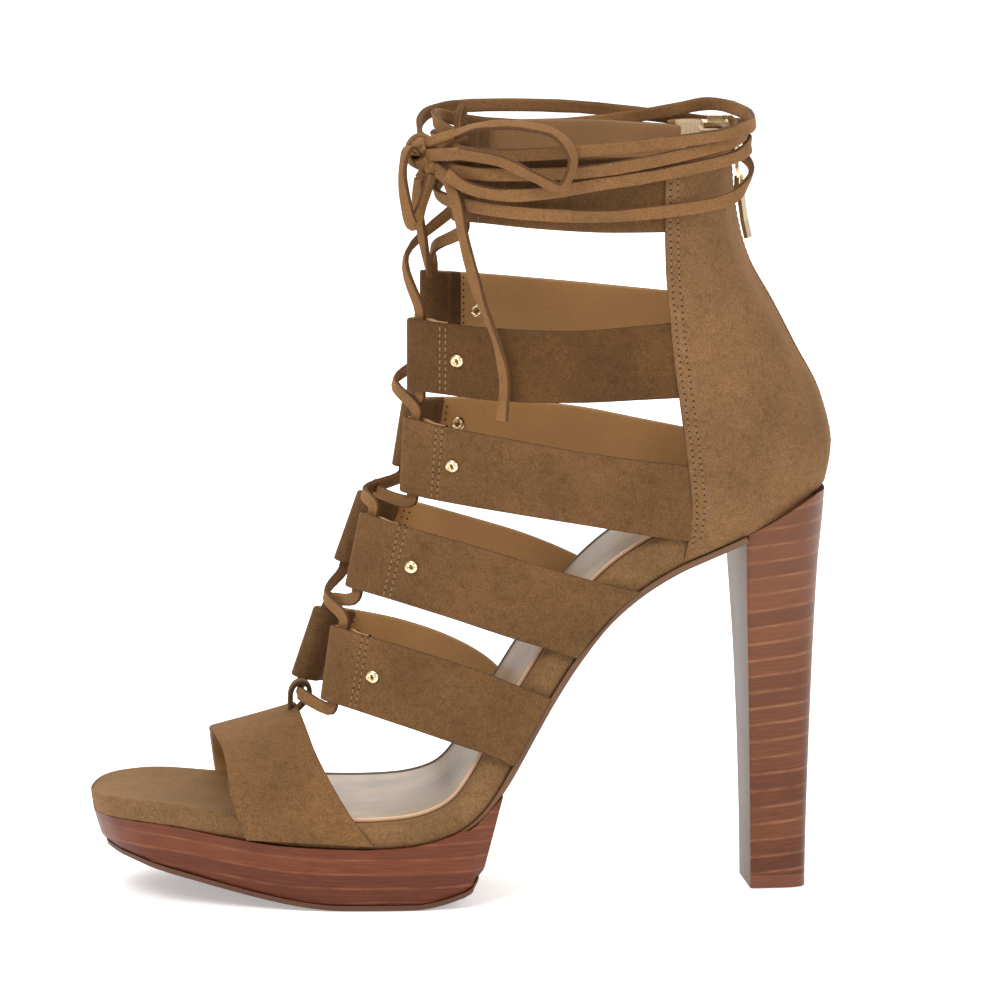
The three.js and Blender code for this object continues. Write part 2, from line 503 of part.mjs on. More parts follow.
// Counter shell with the collar's back, open at the zip slit.
function counterPoint(r, a) {
  // a: 0 near front edge .. 0.5 back .. 1 far front edge
  const th = a * Math.PI;
  const cs = Math.cos(th), sn = Math.sin(th);
  const xf = r.xf + (cs < 0 ? FAR_BACK : 0);
  const x = xf + (r.xb - xf) * Math.pow(sn, 2 / r.n);
  const y = -Math.sign(cs) * r.w * Math.pow(Math.abs(cs), 2 / r.n);
  const k = (x - r.xf) / (r.xb - r.xf);
  return V(x, y + COUNTER_AXIS.y0 + (x - COUNTER_AXIS.x0) * COUNTER_AXIS.slope, lerp(r.zf, r.zb, k));
}
function counterGrid(a, v) {
  const r = rowAt(COUNTER_ROWS, v);
  const p = counterPoint(r, a);
  const e = 0.004;
  const du = counterPoint(r, Math.min(1, a + e)).sub(counterPoint(r, Math.max(0, a - e)));
  const vmax = COUNTER_ROWS.length - 1;
  const dv = counterPoint(rowAt(COUNTER_ROWS, Math.min(vmax, v + 0.05)), a)
    .sub(counterPoint(rowAt(COUNTER_ROWS, Math.max(0, v - 0.05)), a));
  const nor = du.cross(dv).normalize();
  return { p, nor };
}
function counterShell() {
  const as = [];
  const half = [0.004, 0.06, 0.13, 0.2, 0.27, 0.335, 0.395, 0.45, 0.5];
  half.forEach((a) => as.push(a));
  half.slice(0, -1).reverse().forEach((a) => as.push(1 - a));
  const vs = steps(COUNTER_ROWS, 1);
  // grid of outer and inner points, closed round all four edges
  const rings = as.map((a) => {
    const up = vs.map((v) => counterGrid(a, v));
    const outer = up.map((q) => q.p.clone());
    const inner = up.map((q) => q.p.clone().addScaledVector(q.nor, -WALL)).reverse();
    return outer.concat(inner);
  });
  // caps are strips, because the edge is long and thin
  const m = rings[0].length, h = m / 2, pos = [], idx = [];
  rings.forEach((ring) => ring.forEach((p) => pos.push(p.x, p.y, p.z)));
  for (let i = 0; i < rings.length - 1; i += 1) {
    for (let j = 0; j < m; j += 1) {
      const a = i * m + j, b = i * m + ((j + 1) % m), c = a + m, d = b + m;
      idx.push(a, b, d, a, d, c);
    }
  }
  const cap = (base, flip) => {
    for (let j = 0; j < h - 1; j += 1) {
      const a = base + j, b = base + j + 1, c = base + m - 1 - j, d = base + m - 2 - j;
      if (flip) idx.push(a, b, d, a, d, c); else idx.push(a, d, b, a, c, d);
    }
  };
  cap(0, false); cap((rings.length - 1) * m, true);
  return outward(toGeometry(pos, idx));
}
// Slit at the back, from the collar down to the heel seat.
const ZIP_FOOT = 2;       // row of the counter where the zip ends
function slitBody(half, inside, outside, vFrom, vTo) {
  const rings = [];
  const levels = [vFrom];
  for (let v = Math.floor(vFrom) + 1; v < vTo - 0.01; v += 1) levels.push(v);
  for (const v of [...levels, vTo]) {
    const { p, nor } = counterGrid(0.5, v);
    const o = p.clone().addScaledVector(nor, outside), q = p.clone().addScaledVector(nor, -inside);
    rings.push([V(o.x, o.y - half, o.z), V(o.x, o.y + half, o.z), V(q.x, q.y + half, q.z), V(q.x, q.y - half, q.z)]);
  }
  return loft(rings);
}
const counterTop = COUNTER_ROWS.length - 1;
const slitCut = slitBody(ZIP_HALF, 5, 4, ZIP_FOOT, counterTop + 1);
let upper = join([counterShell(),
  strapBand(STRAPS.s1_near), strapBand(STRAPS.s1_far),
  strapBand(STRAPS.s2_near), strapBand(STRAPS.s2_far),
  strapBand(STRAPS.collar_near), strapBand(STRAPS.collar_far)])
  .subtract(solid(slitCut));

// Cutter that keeps the upper clear of the footbed and of the heel seat.
const footbedClear = layer(allU, -GAP - 4, (s) => s.t + 0.4, GAP, 0, 1.0, GAP);
const underSeat = slab(allU, -14, 0, 60);
upper = upper.subtract(solid(footbedClear)).subtract(solid(underSeat));

// Toe strap with the small loop that the lace starts from.
function toeBand() {
  const rings = steps(TOE_ROWS, 2).map((u) => {
    const e = 0.02, n = TOE_ROWS.length - 1;
    const at = (v) => { const r = rowAt(TOE_ROWS, Math.min(n, Math.max(0, v)));
      return [V(r.xf, r.yf, r.zf), V(r.xb, r.yb, r.zb)]; };
    const [f, b] = at(u);
    const [f1, b1] = at(u - e), [f2, b2] = at(u + e);
    const nor = (q1, q2) => b.clone().sub(f).cross(q2.clone().sub(q1)).normalize();
    const nf = nor(f1, f2), nb = nor(b1, b2);
    return [f, b, b.clone().addScaledVector(nb, -WALL), f.clone().addScaledVector(nf, -WALL)];
  });
  return loft(rings);
}
// Loop: a narrow strip folded over, standing on the strap's back edge.
const LOOP_RING = [ // back, up: middle of the strip, in the plane of the loop
  { b: -3.2, h: -3.4 }, { b: -2.9, h: 0.2 }, { b: -2.7, h: 3.4 }, { b: -1.4, h: 5.6 },
  { b: 0.6, h: 6.2 }, { b: 2.4, h: 5.0 }, { b: 2.7, h: 2.6 }, { b: 1.4, h: 0.4 }, { b: -0.8, h: -1.9 },
];
const LOOP = { x: -59.2, z: 55.4, y: 0.2, half: 2.6, t: 1.4 };
function loopBody() {
  const n = LOOP_RING.length;
  const rings = LOOP_RING.map((q, i) => {
    const a = LOOP_RING[Math.max(0, i - 1)], b = LOOP_RING[Math.min(n - 1, i + 1)];
    const d = Math.hypot(b.b - a.b, b.h - a.h);
    const nb = -(b.h - a.h) / d * LOOP.t / 2, nh = (b.b - a.b) / d * LOOP.t / 2;
    const P = (s, y) => V(LOOP.x + q.b + nb * s, LOOP.y + y, LOOP.z + q.h + nh * s);
    return [P(1, -LOOP.half), P(1, LOOP.half), P(-1, LOOP.half), P(-1, -LOOP.half)];
  });
  return loft(rings);
}
const toeStrap = join([toeBand(), loopBody()]);

// ---------------------------------------------------------------- the rivets
const SECTION = 8;
function rivetBody(spec) {
  const rows = STRAPS[spec.on];
  const u = spec.at * (rows.length - 1);
  const f = strapFrame(rows, u);
  const p = f.bot.clone().lerp(f.top, spec.across || 0.5);
  const nor = f.nTop.clone().add(f.nBot).normalize();
  const dome = [new THREE.Vector2(0, 1.5), new THREE.Vector2(RIVET_R * 0.55, 1.35),
    new THREE.Vector2(RIVET_R, 0.75), new THREE.Vector2(RIVET_R, GAP), new THREE.Vector2(0.8, GAP)];
  const head = [...dome, new THREE.Vector2(0.8, -WALL - GAP), new THREE.Vector2(RIVET_R, -WALL - GAP),
    new THREE.Vector2(RIVET_R, -WALL - 0.9), new THREE.Vector2(0, -WALL - 0.9)].reverse();
  const g = new THREE.LatheGeometry(head, SECTION);
  const m = new THREE.Matrix4().compose(p,
    new THREE.Quaternion().setFromUnitVectors(V(0, 1, 0), nor), V(1, 1, 1));
  g.applyMatrix4(m);
  g.deleteAttribute('normal'); g.deleteAttribute('uv');
  return { g: outward(mergeVertices(g, 1e-4)), p, nor, q: m };
}
function rivetHole(r) {
  const g = new THREE.CylinderGeometry(1.1, 1.1, 12, SECTION);
  g.applyMatrix4(r.q);
  return g;
}

// ------------------------------------------------------------------- the zip
const zipTeeth = slitBody(ZIP_HALF - GAP, 1.3, -0.1, ZIP_FOOT + 0.1, counterTop - 0.3);
// Upper end of the tape: bends inwards over the heel's back, under the slider.
const TAPE_END = [ // x, z: middle; h: half width
  { x: 67.1, z: 221.4, h: 1.1 }, { x: 66.6, z: 224.0, h: 1.1 }, { x: 64.9, z: 225.3, h: 1.1 },
  { x: 63.6, z: 225.5, h: 4.4 }, { x: 58.6, z: 225.4, h: 4.6 },
];
// Closed strip in the XZ plane with a half width in Y.
function plate(rows, thick) {
  return loft(rows.map((r, i) => {
    const a = rows[Math.max(0, i - 1)], b = rows[Math.min(rows.length - 1, i + 1)];
    const d = Math.hypot(b.x - a.x, b.z - a.z);
    const nx = -(b.z - a.z) / d * thick / 2, nz = (b.x - a.x) / d * thick / 2;
    return [V(r.x + nx, -r.h, r.z + nz), V(r.x + nx, r.h, r.z + nz),
      V(r.x - nx, r.h, r.z - nz), V(r.x - nx, -r.h, r.z - nz)];
  }));
}
const zipTape = geometry(join([zipTeeth, plate(TAPE_END, 1.0)]));
const box = (x0, x1, y0, y1, z0, z1) => {
  const g = new THREE.BoxGeometry(x1 - x0, y1 - y0, z1 - z0);
  g.translate((x0 + x1) / 2, (y0 + y1) / 2, (z0 + z1) / 2);
  return g;
};
const HINGE = { x: 70.7, z: 208.2, pin: 0.45, eyeIn: 0.75, eyeOut: 1.6, eyeHalf: 0.9, yaw: -0.45 };
// Turned about the upright line through the hinge, towards the near side.
const turned = (g) => { g.translate(-HINGE.x, 0, 0); g.rotateZ(HINGE.yaw); g.translate(HINGE.x, 0, 0); return g; };
const LINK = [
  { x: 65.6, z: 228.9, h: 1.6 }, { x: 68.0, z: 228.9, h: 1.6 }, { x: 69.3, z: 227.6, h: 1.6 },
  { x: 69.5, z: 222.0, h: 1.9 }, { x: 69.7, z: 214.0, h: 2.2 }, { x: 70.2, z: 211.0, h: 2.2 },
];
const PULL = [
  { x: 71.0, z: 207.0, h: 0.9 }, { x: 71.1, z: 205.4, h: 1.7 }, { x: 72.2, z: 198.0, h: 1.8 },
  { x: 73.4, z: 193.0, h: 1.8 },
];
const pin = new THREE.CylinderGeometry(HINGE.pin, HINGE.pin, 4.4, 10);
pin.translate(HINGE.x, 0, HINGE.z);
const ear = (y0, y1) => box(HINGE.x - 0.9, HINGE.x + 0.6, y0, y1, HINGE.z - 0.9, HINGE.z + 3.2);
const zipSlider = geometry(join([box(59.6, 67.2, -3.6, 3.6, 226.4, 227.6), box(61.0, 66.4, -1.3, 1.3, 227.4, 229.3),
  plate(LINK, 1.0), turned(ear(-2.2, -1.2)), turned(ear(1.2, 2.2)), turned(pin)]));
const eye = new THREE.LatheGeometry([[HINGE.eyeIn, -HINGE.eyeHalf], [HINGE.eyeOut, -HINGE.eyeHalf],
  [HINGE.eyeOut, HINGE.eyeHalf], [HINGE.eyeIn, HINGE.eyeHalf], [HINGE.eyeIn, -HINGE.eyeHalf]]
  .map(([r, h]) => new THREE.Vector2(r, h)), 12);
eye.translate(HINGE.x, 0, HINGE.z);
const zipPull = geometry(join([turned(eye), turned(plate(PULL, 1.2))]));

// ------------------------------------------------------------------ the lace
// Middle of a tunnel at the lower or upper edge; reach > 0 goes past the edge.
function tunnel(name, key, reach) {
  const f = strapFrame(STRAPS[name], 0);
  const nor = key === 'top' ? f.nTop : f.nBot;
  const dir = f.top.clone().sub(f.bot).normalize().multiplyScalar(key === 'top' ? 1 : -1);
  return { p: f[key].clone().addScaledVector(nor, -WALL / 2 - 2.3)
    .addScaledVector(f.along(key), -0.1).addScaledVector(dir, reach), nor };
}
// The two halves of the lace, from the toe loop up to the collar.
const LACING = [
  ['strap_4_near', 'strap_3_far', 's2_near', 's1_far', 'collar_near'],
  ['strap_4_far', 'strap_3_near', 's2_far', 's1_near', 'collar_far'],
];
const BOW_OUT = { // how far each crossing stands forward, doubled
  near: [10.0, 6.5, 17.0, 7.0], far: [7.0, 15.0, 6.5, 21.0],
};
function laceHalf(names, side) {
  const pts = [];
  pts.push({ p: V(LOOP.x, LOOP.y, LOOP.z + 3.0), nor: V(-1, 0, 0) });
  pts.push({ p: V(LOOP.x + 0.2, LOOP.y + side * 5.0, LOOP.z + 3.2), nor: V(-1, 0, 0.2) });
  names.forEach((name, k) => {
    const low = tunnel(name, 'bot', 0), high = tunnel(name, 'top', 0);
    pts.push(tunnel(name, 'bot', 2.2));
    pts.push({ p: low.p.clone().lerp(high.p, 0.06), nor: low.nor });
    pts.push({ p: low.p.clone().lerp(high.p, 0.5), nor: low.nor.clone().add(high.nor).normalize() });
    pts.push({ p: low.p.clone().lerp(high.p, 0.94), nor: high.nor });
    pts.push(tunnel(name, 'top', 2.2));
    if (k < names.length - 1) {
      const next = tunnel(names[k + 1], 'bot', 2.2), here = tunnel(name, 'top', 2.2);
      const mid = here.p.clone().lerp(next.p, 0.5);
      mid.x -= BOW_OUT[side < 0 ? 'near' : 'far'][k] * 0.5;
      mid.x -= (side < 0 ? 0.35 : -0.35);
      pts.push({ p: mid, nor: V(-1, 0, 0.15).normalize() });
    }
  });
  return pts;
}
// Flat strip along points with given face normals.
function strip(pts, w, t, per) {
  const curve = new THREE.CatmullRomCurve3(pts.map((q) => q.p), false, 'centripetal');
  const n = (pts.length - 1) * per;
  const rings = [];
  for (let i = 0; i <= n; i += 1) {
    const k = i / per, k0 = Math.min(pts.length - 2, Math.floor(k)), f = k - k0;
    const c = curve.getPoint(k / (pts.length - 1)), tan = curve.getTangent(k / (pts.length - 1));
    const nor = pts[k0].nor.clone().lerp(pts[k0 + 1].nor, f);
    nor.addScaledVector(tan, -nor.dot(tan)).normalize();
    const wid = tan.clone().cross(nor).normalize();
    const P = (a, b) => c.clone().addScaledVector(wid, a * w / 2).addScaledVector(nor, b * t / 2);
    rings.push([P(-1, 0), P(-0.78, 1), P(0.78, 1), P(1, 0), P(0.78, -1), P(-0.78, -1)]);
  }
  return loft(rings);
}
const lacePts = LACING.map((names, i) => laceHalf(names, i === 0 ? -1 : 1));
const laceFront = join(lacePts.map((pts) => strip(pts, LACE_W, LACE_T, 2)));

// Free stretches: two ties round the ankle, the bow and its ends.
// phi: degrees round the leg, 0 back, 90 near side, 180 front; lift: off the collar.
const ANKLE = { x: 26.0, y: -0.2, a: 43.2, b: 34.9, nBack: 3.2, nFront: 2.5 };
const TIE_A = [
  { phi: 178, z: 227.2, lift: 0.6 }, { phi: 200, z: 228.0, lift: 2.6 }, { phi: 225, z: 224.4, lift: 2.8 },
  { phi: 250, z: 221.8, lift: 2.8 }, { phi: 270, z: 222.0, lift: 2.6 }, { phi: 292, z: 225.4, lift: 3.2 },
  { phi: 315, z: 228.4, lift: 3.8 }, { phi: 360, z: 228.4, lift: 5.0 }, { phi: 405, z: 228.6, lift: 5.4 },
  { phi: 450, z: 224.6, lift: 2.8 }, { phi: 495, z: 222.4, lift: 2.3 }, { phi: 540, z: 222.6, lift: 1.5 },
  { phi: 565, z: 221.6, lift: 2.8 }, { phi: 590, z: 219.0, lift: 3.2 }, { phi: 630, z: 217.6, lift: 3.6 },
  { phi: 675, z: 219.8, lift: 4.4 }, { phi: 720, z: 221.6, lift: 4.0 }, { phi: 765, z: 220.4, lift: 3.8 },
  { phi: 810, z: 214.3, lift: 2.4 }, { phi: 838, z: 211.2, lift: 3.6 }, { phi: 856, z: 213.0, lift: 5.8 },
  { phi: 868, z: 216.0, lift: 6.0 },
];
const TIE_B = [
  { phi: 195, z: 227.4, lift: -4.4 }, { phi: 186, z: 219.5, lift: -4.0 }, { phi: 177, z: 213.4, lift: -1.0 },
  { phi: 166, z: 209.2, lift: 3.6 }, { phi: 135, z: 206.8, lift: 2.8 }, { phi: 90, z: 205.2, lift: 2.8 },
  { phi: 45, z: 208.4, lift: 3.8 }, { phi: 20, z: 212.6, lift: 3.9 }, { phi: 0, z: 215.8, lift: 3.8 },
  { phi: -45, z: 215.6, lift: 4.2 }, { phi: -90, z: 213.4, lift: 3.2 }, { phi: -135, z: 215.6, lift: 3.0 },
  { phi: -180, z: 217.2, lift: 3.2 }, { phi: -225, z: 216.6, lift: 2.6 }, { phi: -270, z: 218.6, lift: 2.6 },
  { phi: -315, z: 225.2, lift: 3.8 }, { phi: -360, z: 225.2, lift: 3.4 }, { phi: -388, z: 223.0, lift: 6.0 },
  { phi: -410, z: 222.2, lift: 7.4 }, { phi: -450, z: 226.4, lift: 6.4 }, { phi: -492, z: 228.2, lift: 6.2 },
  { phi: -512, z: 228.0, lift: 6.5 },
  { phi: -530, z: 226.4, lift: 6.5 }, { phi: -542, z: 223.6, lift: 6.2 },
];
// Bow and ends: drafting-frame points.
const KNOT = { x: -23.6, y: -11.8, z: 220.6, rx: 4.0, ry: 6.2, rz: 6.4 };
const BOW_LEFT = [
  { x: -25.0, y: -18.4, z: 222.4 }, { x: -28.4, y: -21.4, z: 223.2 }, { x: -30.0, y: -22.6, z: 217.4 },
  { x: -29.2, y: -22.2, z: 208.0 }, { x: -27.0, y: -21.4, z: 200.6 }, { x: -24.2, y: -21.0, z: 207.0 },
  { x: -21.4, y: -20.2, z: 215.4 },
];
const BOW_RIGHT = [
  { x: -14.2, y: -19.4, z: 227.2 }, { x: -6.0, y: -31.0, z: 231.2 }, { x: 4.0, y: -38.4, z: 232.0 },
  { x: 13.8, y: -41.8, z: 229.6 }, { x: 18.2, y: -43.2, z: 222.6 }, { x: 14.6, y: -43.8, z: 214.8 },
  { x: 7.4, y: -43.4, z: 217.6 }, { x: -2.0, y: -39.8, z: 221.8 }, { x: -13.2, y: -26.8, z: 222.4 },
];
const END_LONG = [
  { x: -16.6, y: -21.8, z: 214.0 }, { x: -14.6, y: -28.0, z: 207.6 }, { x: -11.8, y: -30.6, z: 194.0 },
  { x: -8.2, y: -32.6, z: 181.0 }, { x: -3.4, y: -34.0, z: 168.0 }, { x: -1.0, y: -34.2, z: 156.0 },
  { x: -1.8, y: -33.6, z: 144.6 },
];
const END_SHORT = [
  { x: -24.4, y: -9.8, z: 212.6 }, { x: -24.8, y: -8.6, z: 205.0 }, { x: -23.4, y: -6.6, z: 196.0 },
  { x: -21.2, y: -4.6, z: 183.0 },
];
function anklePoint(r) {
  const a = (r.phi * Math.PI) / 180;
  const n = Math.cos(a) > 0 ? ANKLE.nBack : ANKLE.nFront;
  const round = (v) => Math.sign(v) * Math.pow(Math.abs(v), 2 / n);
  return V(ANKLE.x + (ANKLE.a + r.lift) * round(Math.cos(a)),
    ANKLE.y - (ANKLE.b + r.lift) * round(Math.sin(a)), r.z);
}
function cord(points, count) {
  const curve = new THREE.CatmullRomCurve3(points, false, 'centripetal');
  const ring = new THREE.Shape();
  for (let i = 0; i < 8; i += 1) {
    const a = (i / 8) * Math.PI * 2;
    if (i === 0) ring.moveTo(CORD_D / 2, 0);
    else ring.lineTo((CORD_D / 2) * Math.cos(a), (CORD_D / 2) * Math.sin(a));
  }
  return new THREE.ExtrudeGeometry(ring, { steps: count, extrudePath: curve, bevelEnabled: false, curveSegments: 1 });
}
const xyz = (rows) => rows.map((r) => V(r.x, r.y, r.z));

// ------------------------------------------------------------------ assembly
const shoe = new THREE.Group();
shoe.position.set(-ORIGIN_X, -ORIGIN_Y, 0);
const COLOURS = {
  suede: [0x8c6a45, 0.95, 0], lining: [0x9b7344, 0.7, 0], stacked: [0x8a4a30, 0.45, 0],
  dark: [0x4a2a1c, 0.6, 0], sock: [0xcdc0ac, 0.4, 0.25], sole: [0x7a4a2c, 0.6, 0],
  brass: [0xd9b26a, 0.25, 1], lace: [0x7d5c3a, 0.9, 0], zip: [0xb89b6a, 0.5, 0.4],
};
function put(name, g, look) {
  const [color, roughness, metalness] = COLOURS[look];
  const mesh = new THREE.Mesh(g, new THREE.MeshStandardMaterial({ color, roughness, metalness }));
  mesh.name = name;
  shoe.add(mesh);
  return mesh;
}
put('outsole_front', outsole, 'dark');
put('platform', platform, 'stacked');
put('shank_sole', shankSole, 'sole');
put('footbed', footbed, 'suede');
put('insole', insole, 'sock');
put('heel', heel, 'stacked');
put('heel_lift', lift, 'dark');

const rivets = RIVETS.map((spec) => ({ spec, ...rivetBody(spec) }));
const drill = (name, man) => rivets.filter((r) => (name === 'upper_back'
  ? r.spec.on.startsWith('s1') || r.spec.on.startsWith('s2') : r.spec.on === name))
  .reduce((m, r) => m.subtract(solid(rivetHole(r))), man);
put('upper_back', geometry(drill('upper_back', upper)), 'suede');
for (const name of ['strap_3_near', 'strap_3_far', 'strap_4_near', 'strap_4_far']) {
  const man = solid(strapBand(STRAPS[name])).subtract(solid(footbedClear)).subtract(solid(underSeat));
  put(name, geometry(drill(name, man)), 'suede');
}
put('toe_strap', geometry(toeStrap.subtract(solid(footbedClear)).subtract(solid(underSeat))), 'suede');
put('zip_tape', zipTape, 'zip');
put('zip_slider', zipSlider, 'brass');
put('zip_pull', zipPull, 'brass');
for (const r of rivets) put(`rivet_${r.spec.on}`, r.g, 'brass');
put('lace_front', geometry(laceFront), 'lace');
const leave = (name) => [3.1, 5.2].map((reach) => tunnel(name, 'top', reach).p);
put('tie_a', cord([...leave('collar_near'), ...TIE_A.map(anklePoint)], 30), 'lace');
put('tie_b', cord([...leave('collar_far'), ...TIE_B.map(anklePoint)], 34), 'lace');
const knot = new THREE.SphereGeometry(1, 10, 7);
knot.scale(KNOT.rx, KNOT.ry, KNOT.rz);
knot.translate(KNOT.x, KNOT.y, KNOT.z);
put('knot', knot, 'lace');
put('bow_left', cord(xyz(BOW_LEFT), 9), 'lace');
put('bow_right', cord(xyz(BOW_RIGHT), 13), 'lace');
put('end_long', cord(xyz(END_LONG), 9), 'lace');
put('end_short', cord(xyz(END_SHORT), 4), 'lace');

export default shoe;
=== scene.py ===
import bpy
import math
import random
import numpy as np
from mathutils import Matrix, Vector


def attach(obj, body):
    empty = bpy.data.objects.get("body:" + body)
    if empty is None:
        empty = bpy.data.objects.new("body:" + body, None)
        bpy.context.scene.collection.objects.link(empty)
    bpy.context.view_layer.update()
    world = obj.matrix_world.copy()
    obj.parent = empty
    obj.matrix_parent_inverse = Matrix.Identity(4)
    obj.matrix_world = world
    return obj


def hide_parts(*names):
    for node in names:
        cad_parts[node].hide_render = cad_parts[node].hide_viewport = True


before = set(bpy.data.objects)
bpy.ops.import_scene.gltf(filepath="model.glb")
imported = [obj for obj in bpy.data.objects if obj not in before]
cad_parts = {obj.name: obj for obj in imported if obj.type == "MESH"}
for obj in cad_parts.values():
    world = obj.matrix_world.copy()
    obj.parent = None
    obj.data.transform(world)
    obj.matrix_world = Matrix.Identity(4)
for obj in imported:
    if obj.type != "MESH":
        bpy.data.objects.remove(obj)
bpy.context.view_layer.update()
rng = random.Random(7)
MM = 0.001
ORIGIN = np.array([-11.5, -0.15, 0.0])   # the drafting frame's shift, mm

# ------------------------------------------------------------------- camera
# One picture pixel is 0.295 mm at the middle plane, 4 m from the lens.
CAM_AZ, CAM_EL, CAM_D, CAM_FIELD = -4.0, 9.6, 4000.0, 295.0
CAM_AIM = np.array([0.0, 0.0, 115.3]) - ORIGIN
az, el = math.radians(CAM_AZ), math.radians(CAM_EL)
cam_back = np.array([math.sin(az) * math.cos(el), -math.cos(az) * math.cos(el), math.sin(el)])
cam_data = bpy.data.cameras.new("photo_camera")
cam_data.sensor_fit = "HORIZONTAL"
cam_data.sensor_width = 36.0
cam_data.lens = 36.0 * CAM_D / CAM_FIELD
cam_data.clip_end = 50.0
camera = bpy.data.objects.new("photo_camera", cam_data)
bpy.context.scene.collection.objects.link(camera)
camera.location = Vector((CAM_AIM + cam_back * CAM_D) * MM)
camera.rotation_euler = Vector(-cam_back).to_track_quat("-Z", "Y").to_euler()
bpy.context.scene.camera = camera


# ------------------------------------------------------------------ helpers
def catmull(p0, p1, p2, p3, t):
    return 0.5 * (2 * p1 + (p2 - p0) * t + (2 * p0 - 5 * p1 + 4 * p2 - p3) * t * t
                  + (3 * p1 - p0 - 3 * p2 + p3) * t * t * t)


class Table:
    """Rows of named columns, read smoothly by row position u (0 .. rows-1)."""

    def __init__(self, names, rows):
        self.names = names.split()
        self.c = {n: [float(r[i]) for r in rows] for i, n in enumerate(self.names)}
        self.last = len(rows) - 1

    def col(self, key, u):
        c, n = self.c[key], self.last
        i = min(n - 1, max(0, int(math.floor(u))))
        t = u - i
        p1, p2 = c[i], c[i + 1]
        p0 = c[i - 1] if i > 0 else 2 * p1 - p2
        p3 = c[i + 2] if i < n - 1 else 2 * p2 - p1
        return catmull(p0, p1, p2, p3, t)

    def at(self, u):
        return {k: self.col(k, u) for k in self.names}

    def by_x(self, key, x):
        c = self.c["x"]
        if x <= c[0]:
            return self.c[key][0]
        for i in range(self.last):
            if x <= c[i + 1]:
                return self.col(key, i + (x - c[i]) / (c[i + 1] - c[i]))
        return self.c[key][self.last]

    def find(self, key, value):
        lo, hi = 0.0, float(self.last)
        for _ in range(40):
            m = (lo + hi) / 2
            if self.col(key, m) < value:
                lo = m
            else:
                hi = m
        return (lo + hi) / 2


def v3(*a):
    return np.array(a, float)


def unit(a):
    return a / max(1e-9, float(np.linalg.norm(a)))


def lerp(a, b, t):
    return a + (b - a) * t


def spaced(a, b, n):
    return [a + (b - a) * i / n for i in range(n + 1)]


def make(name, verts, faces, mats, idx=None, uv=None, sharp=40.0, body="shoe"):
    """Mesh from points in drafting millimetres; uv is one pair per point."""
    co = (np.asarray(verts, float) - ORIGIN) * MM
    me = bpy.data.meshes.new(name)
    me.from_pydata([tuple(p) for p in co], [], [tuple(f) for f in faces])
    for m in mats:
        me.materials.append(m)
    if idx is not None:
        me.polygons.foreach_set("material_index", np.asarray(idx, np.int32))
    me.polygons.foreach_set("use_smooth", np.ones(len(me.polygons), bool))
    if uv is not None:
        layer = me.uv_layers.new(name="UVMap")
        vi = np.zeros(len(me.loops), np.int32)
        me.loops.foreach_get("vertex_index", vi)
        layer.data.foreach_set("uv", np.asarray(uv, np.float32)[vi].ravel())
    me.validate()
    me.update()
    if sharp:
        me.set_sharp_from_angle(angle=math.radians(sharp))
    ob = bpy.data.objects.new(name, me)
    bpy.context.scene.collection.objects.link(ob)
    fix_normals(ob)
    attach(ob, body)
    return ob


def fix_normals(ob):
    import bmesh
    bm = bmesh.new()
    bm.from_mesh(ob.data)
    bmesh.ops.recalc_face_normals(bm, faces=bm.faces)
    bm.to_mesh(ob.data)
    bm.free()


def loft(name, rings, mats, side=None, closed_caps=True, uv=None, sharp=40.0, shell=False, body="shoe"):
    """Body from rings of equal counts. side: material of each ring edge."""
    n, m = len(rings), len(rings[0])
    verts = np.concatenate([np.asarray(r, float) for r in rings])
    faces, idx = [], []
    for i in range(n - 1):
        for j in range(m):
            k = (j + 1) % m
            faces.append((i * m + j, i * m + k, (i + 1) * m + k, (i + 1) * m + j))
            idx.append(side[j] if side is not None else 0)
    if closed_caps:
        for base in (0, (n - 1) * m):
            if shell:
                h = m // 2
                for j in range(h - 1):
                    faces.append((base + j, base + j + 1, base + m - 2 - j, base + m - 1 - j))
                    idx.append(0)
            else:
                faces.append(tuple(range(base, base + m)))
                idx.append(side[0] if side is not None else 0)
    flat_uv = None
    if uv is not None:
        flat_uv = [q for row in uv for q in row]
    return make(name, verts, faces, mats, idx, flat_uv, sharp, body)


class Pile:
    """Many small copies joined into one mesh."""

    def __init__(self):
        self.v, self.f, self.m, self.n = [], [], [], 0

    def add(self, verts, faces, mat=0):
        self.v.append(np.asarray(verts, float))
        self.f += [tuple(i + self.n for i in f) for f in faces]
        self.m += [mat] * len(faces)
        self.n += len(verts)

    def build(self, name, mats, sharp=40.0, body="shoe"):
        return make(name, np.concatenate(self.v), self.f, mats, self.m, None, sharp, body)


def lathe(profile, n):
    """Profile of (radius, height) turned round its axis: points, faces."""
    verts, faces, rows = [], [], []
    for r, h in profile:
        if r < 1e-6:
            rows.append([len(verts)])
            verts.append((0, 0, h))
        else:
            rows.append(list(range(len(verts), len(verts) + n)))
            verts += [(r * math.cos(2 * math.pi * i / n), r * math.sin(2 * math.pi * i / n), h) for i in range(n)]
    for a, b in zip(rows, rows[1:]):
        for i in range(n):
            k = (i + 1) % n
            if len(a) == 1 and len(b) == 1:
                continue
            if len(a) == 1:
                faces.append((a[0], b[i], b[k]))
            elif len(b) == 1:
                faces.append((a[i], b[0], a[k]))
            else:
                faces.append((a[i], b[i], b[k], a[k]))
    return np.array(verts, float), faces


def placed(verts, at, zdir, xdir=None):
    z = unit(zdir)
    x = xdir if xdir is not None else (v3(0, 0, 1) if abs(z[2]) < 0.9 else v3(1, 0, 0))
    x = unit(x - z * float(np.dot(x, z)))
    y = np.cross(z, x)
    return np.asarray(at) + np.asarray(verts) @ np.array([x, y, z])


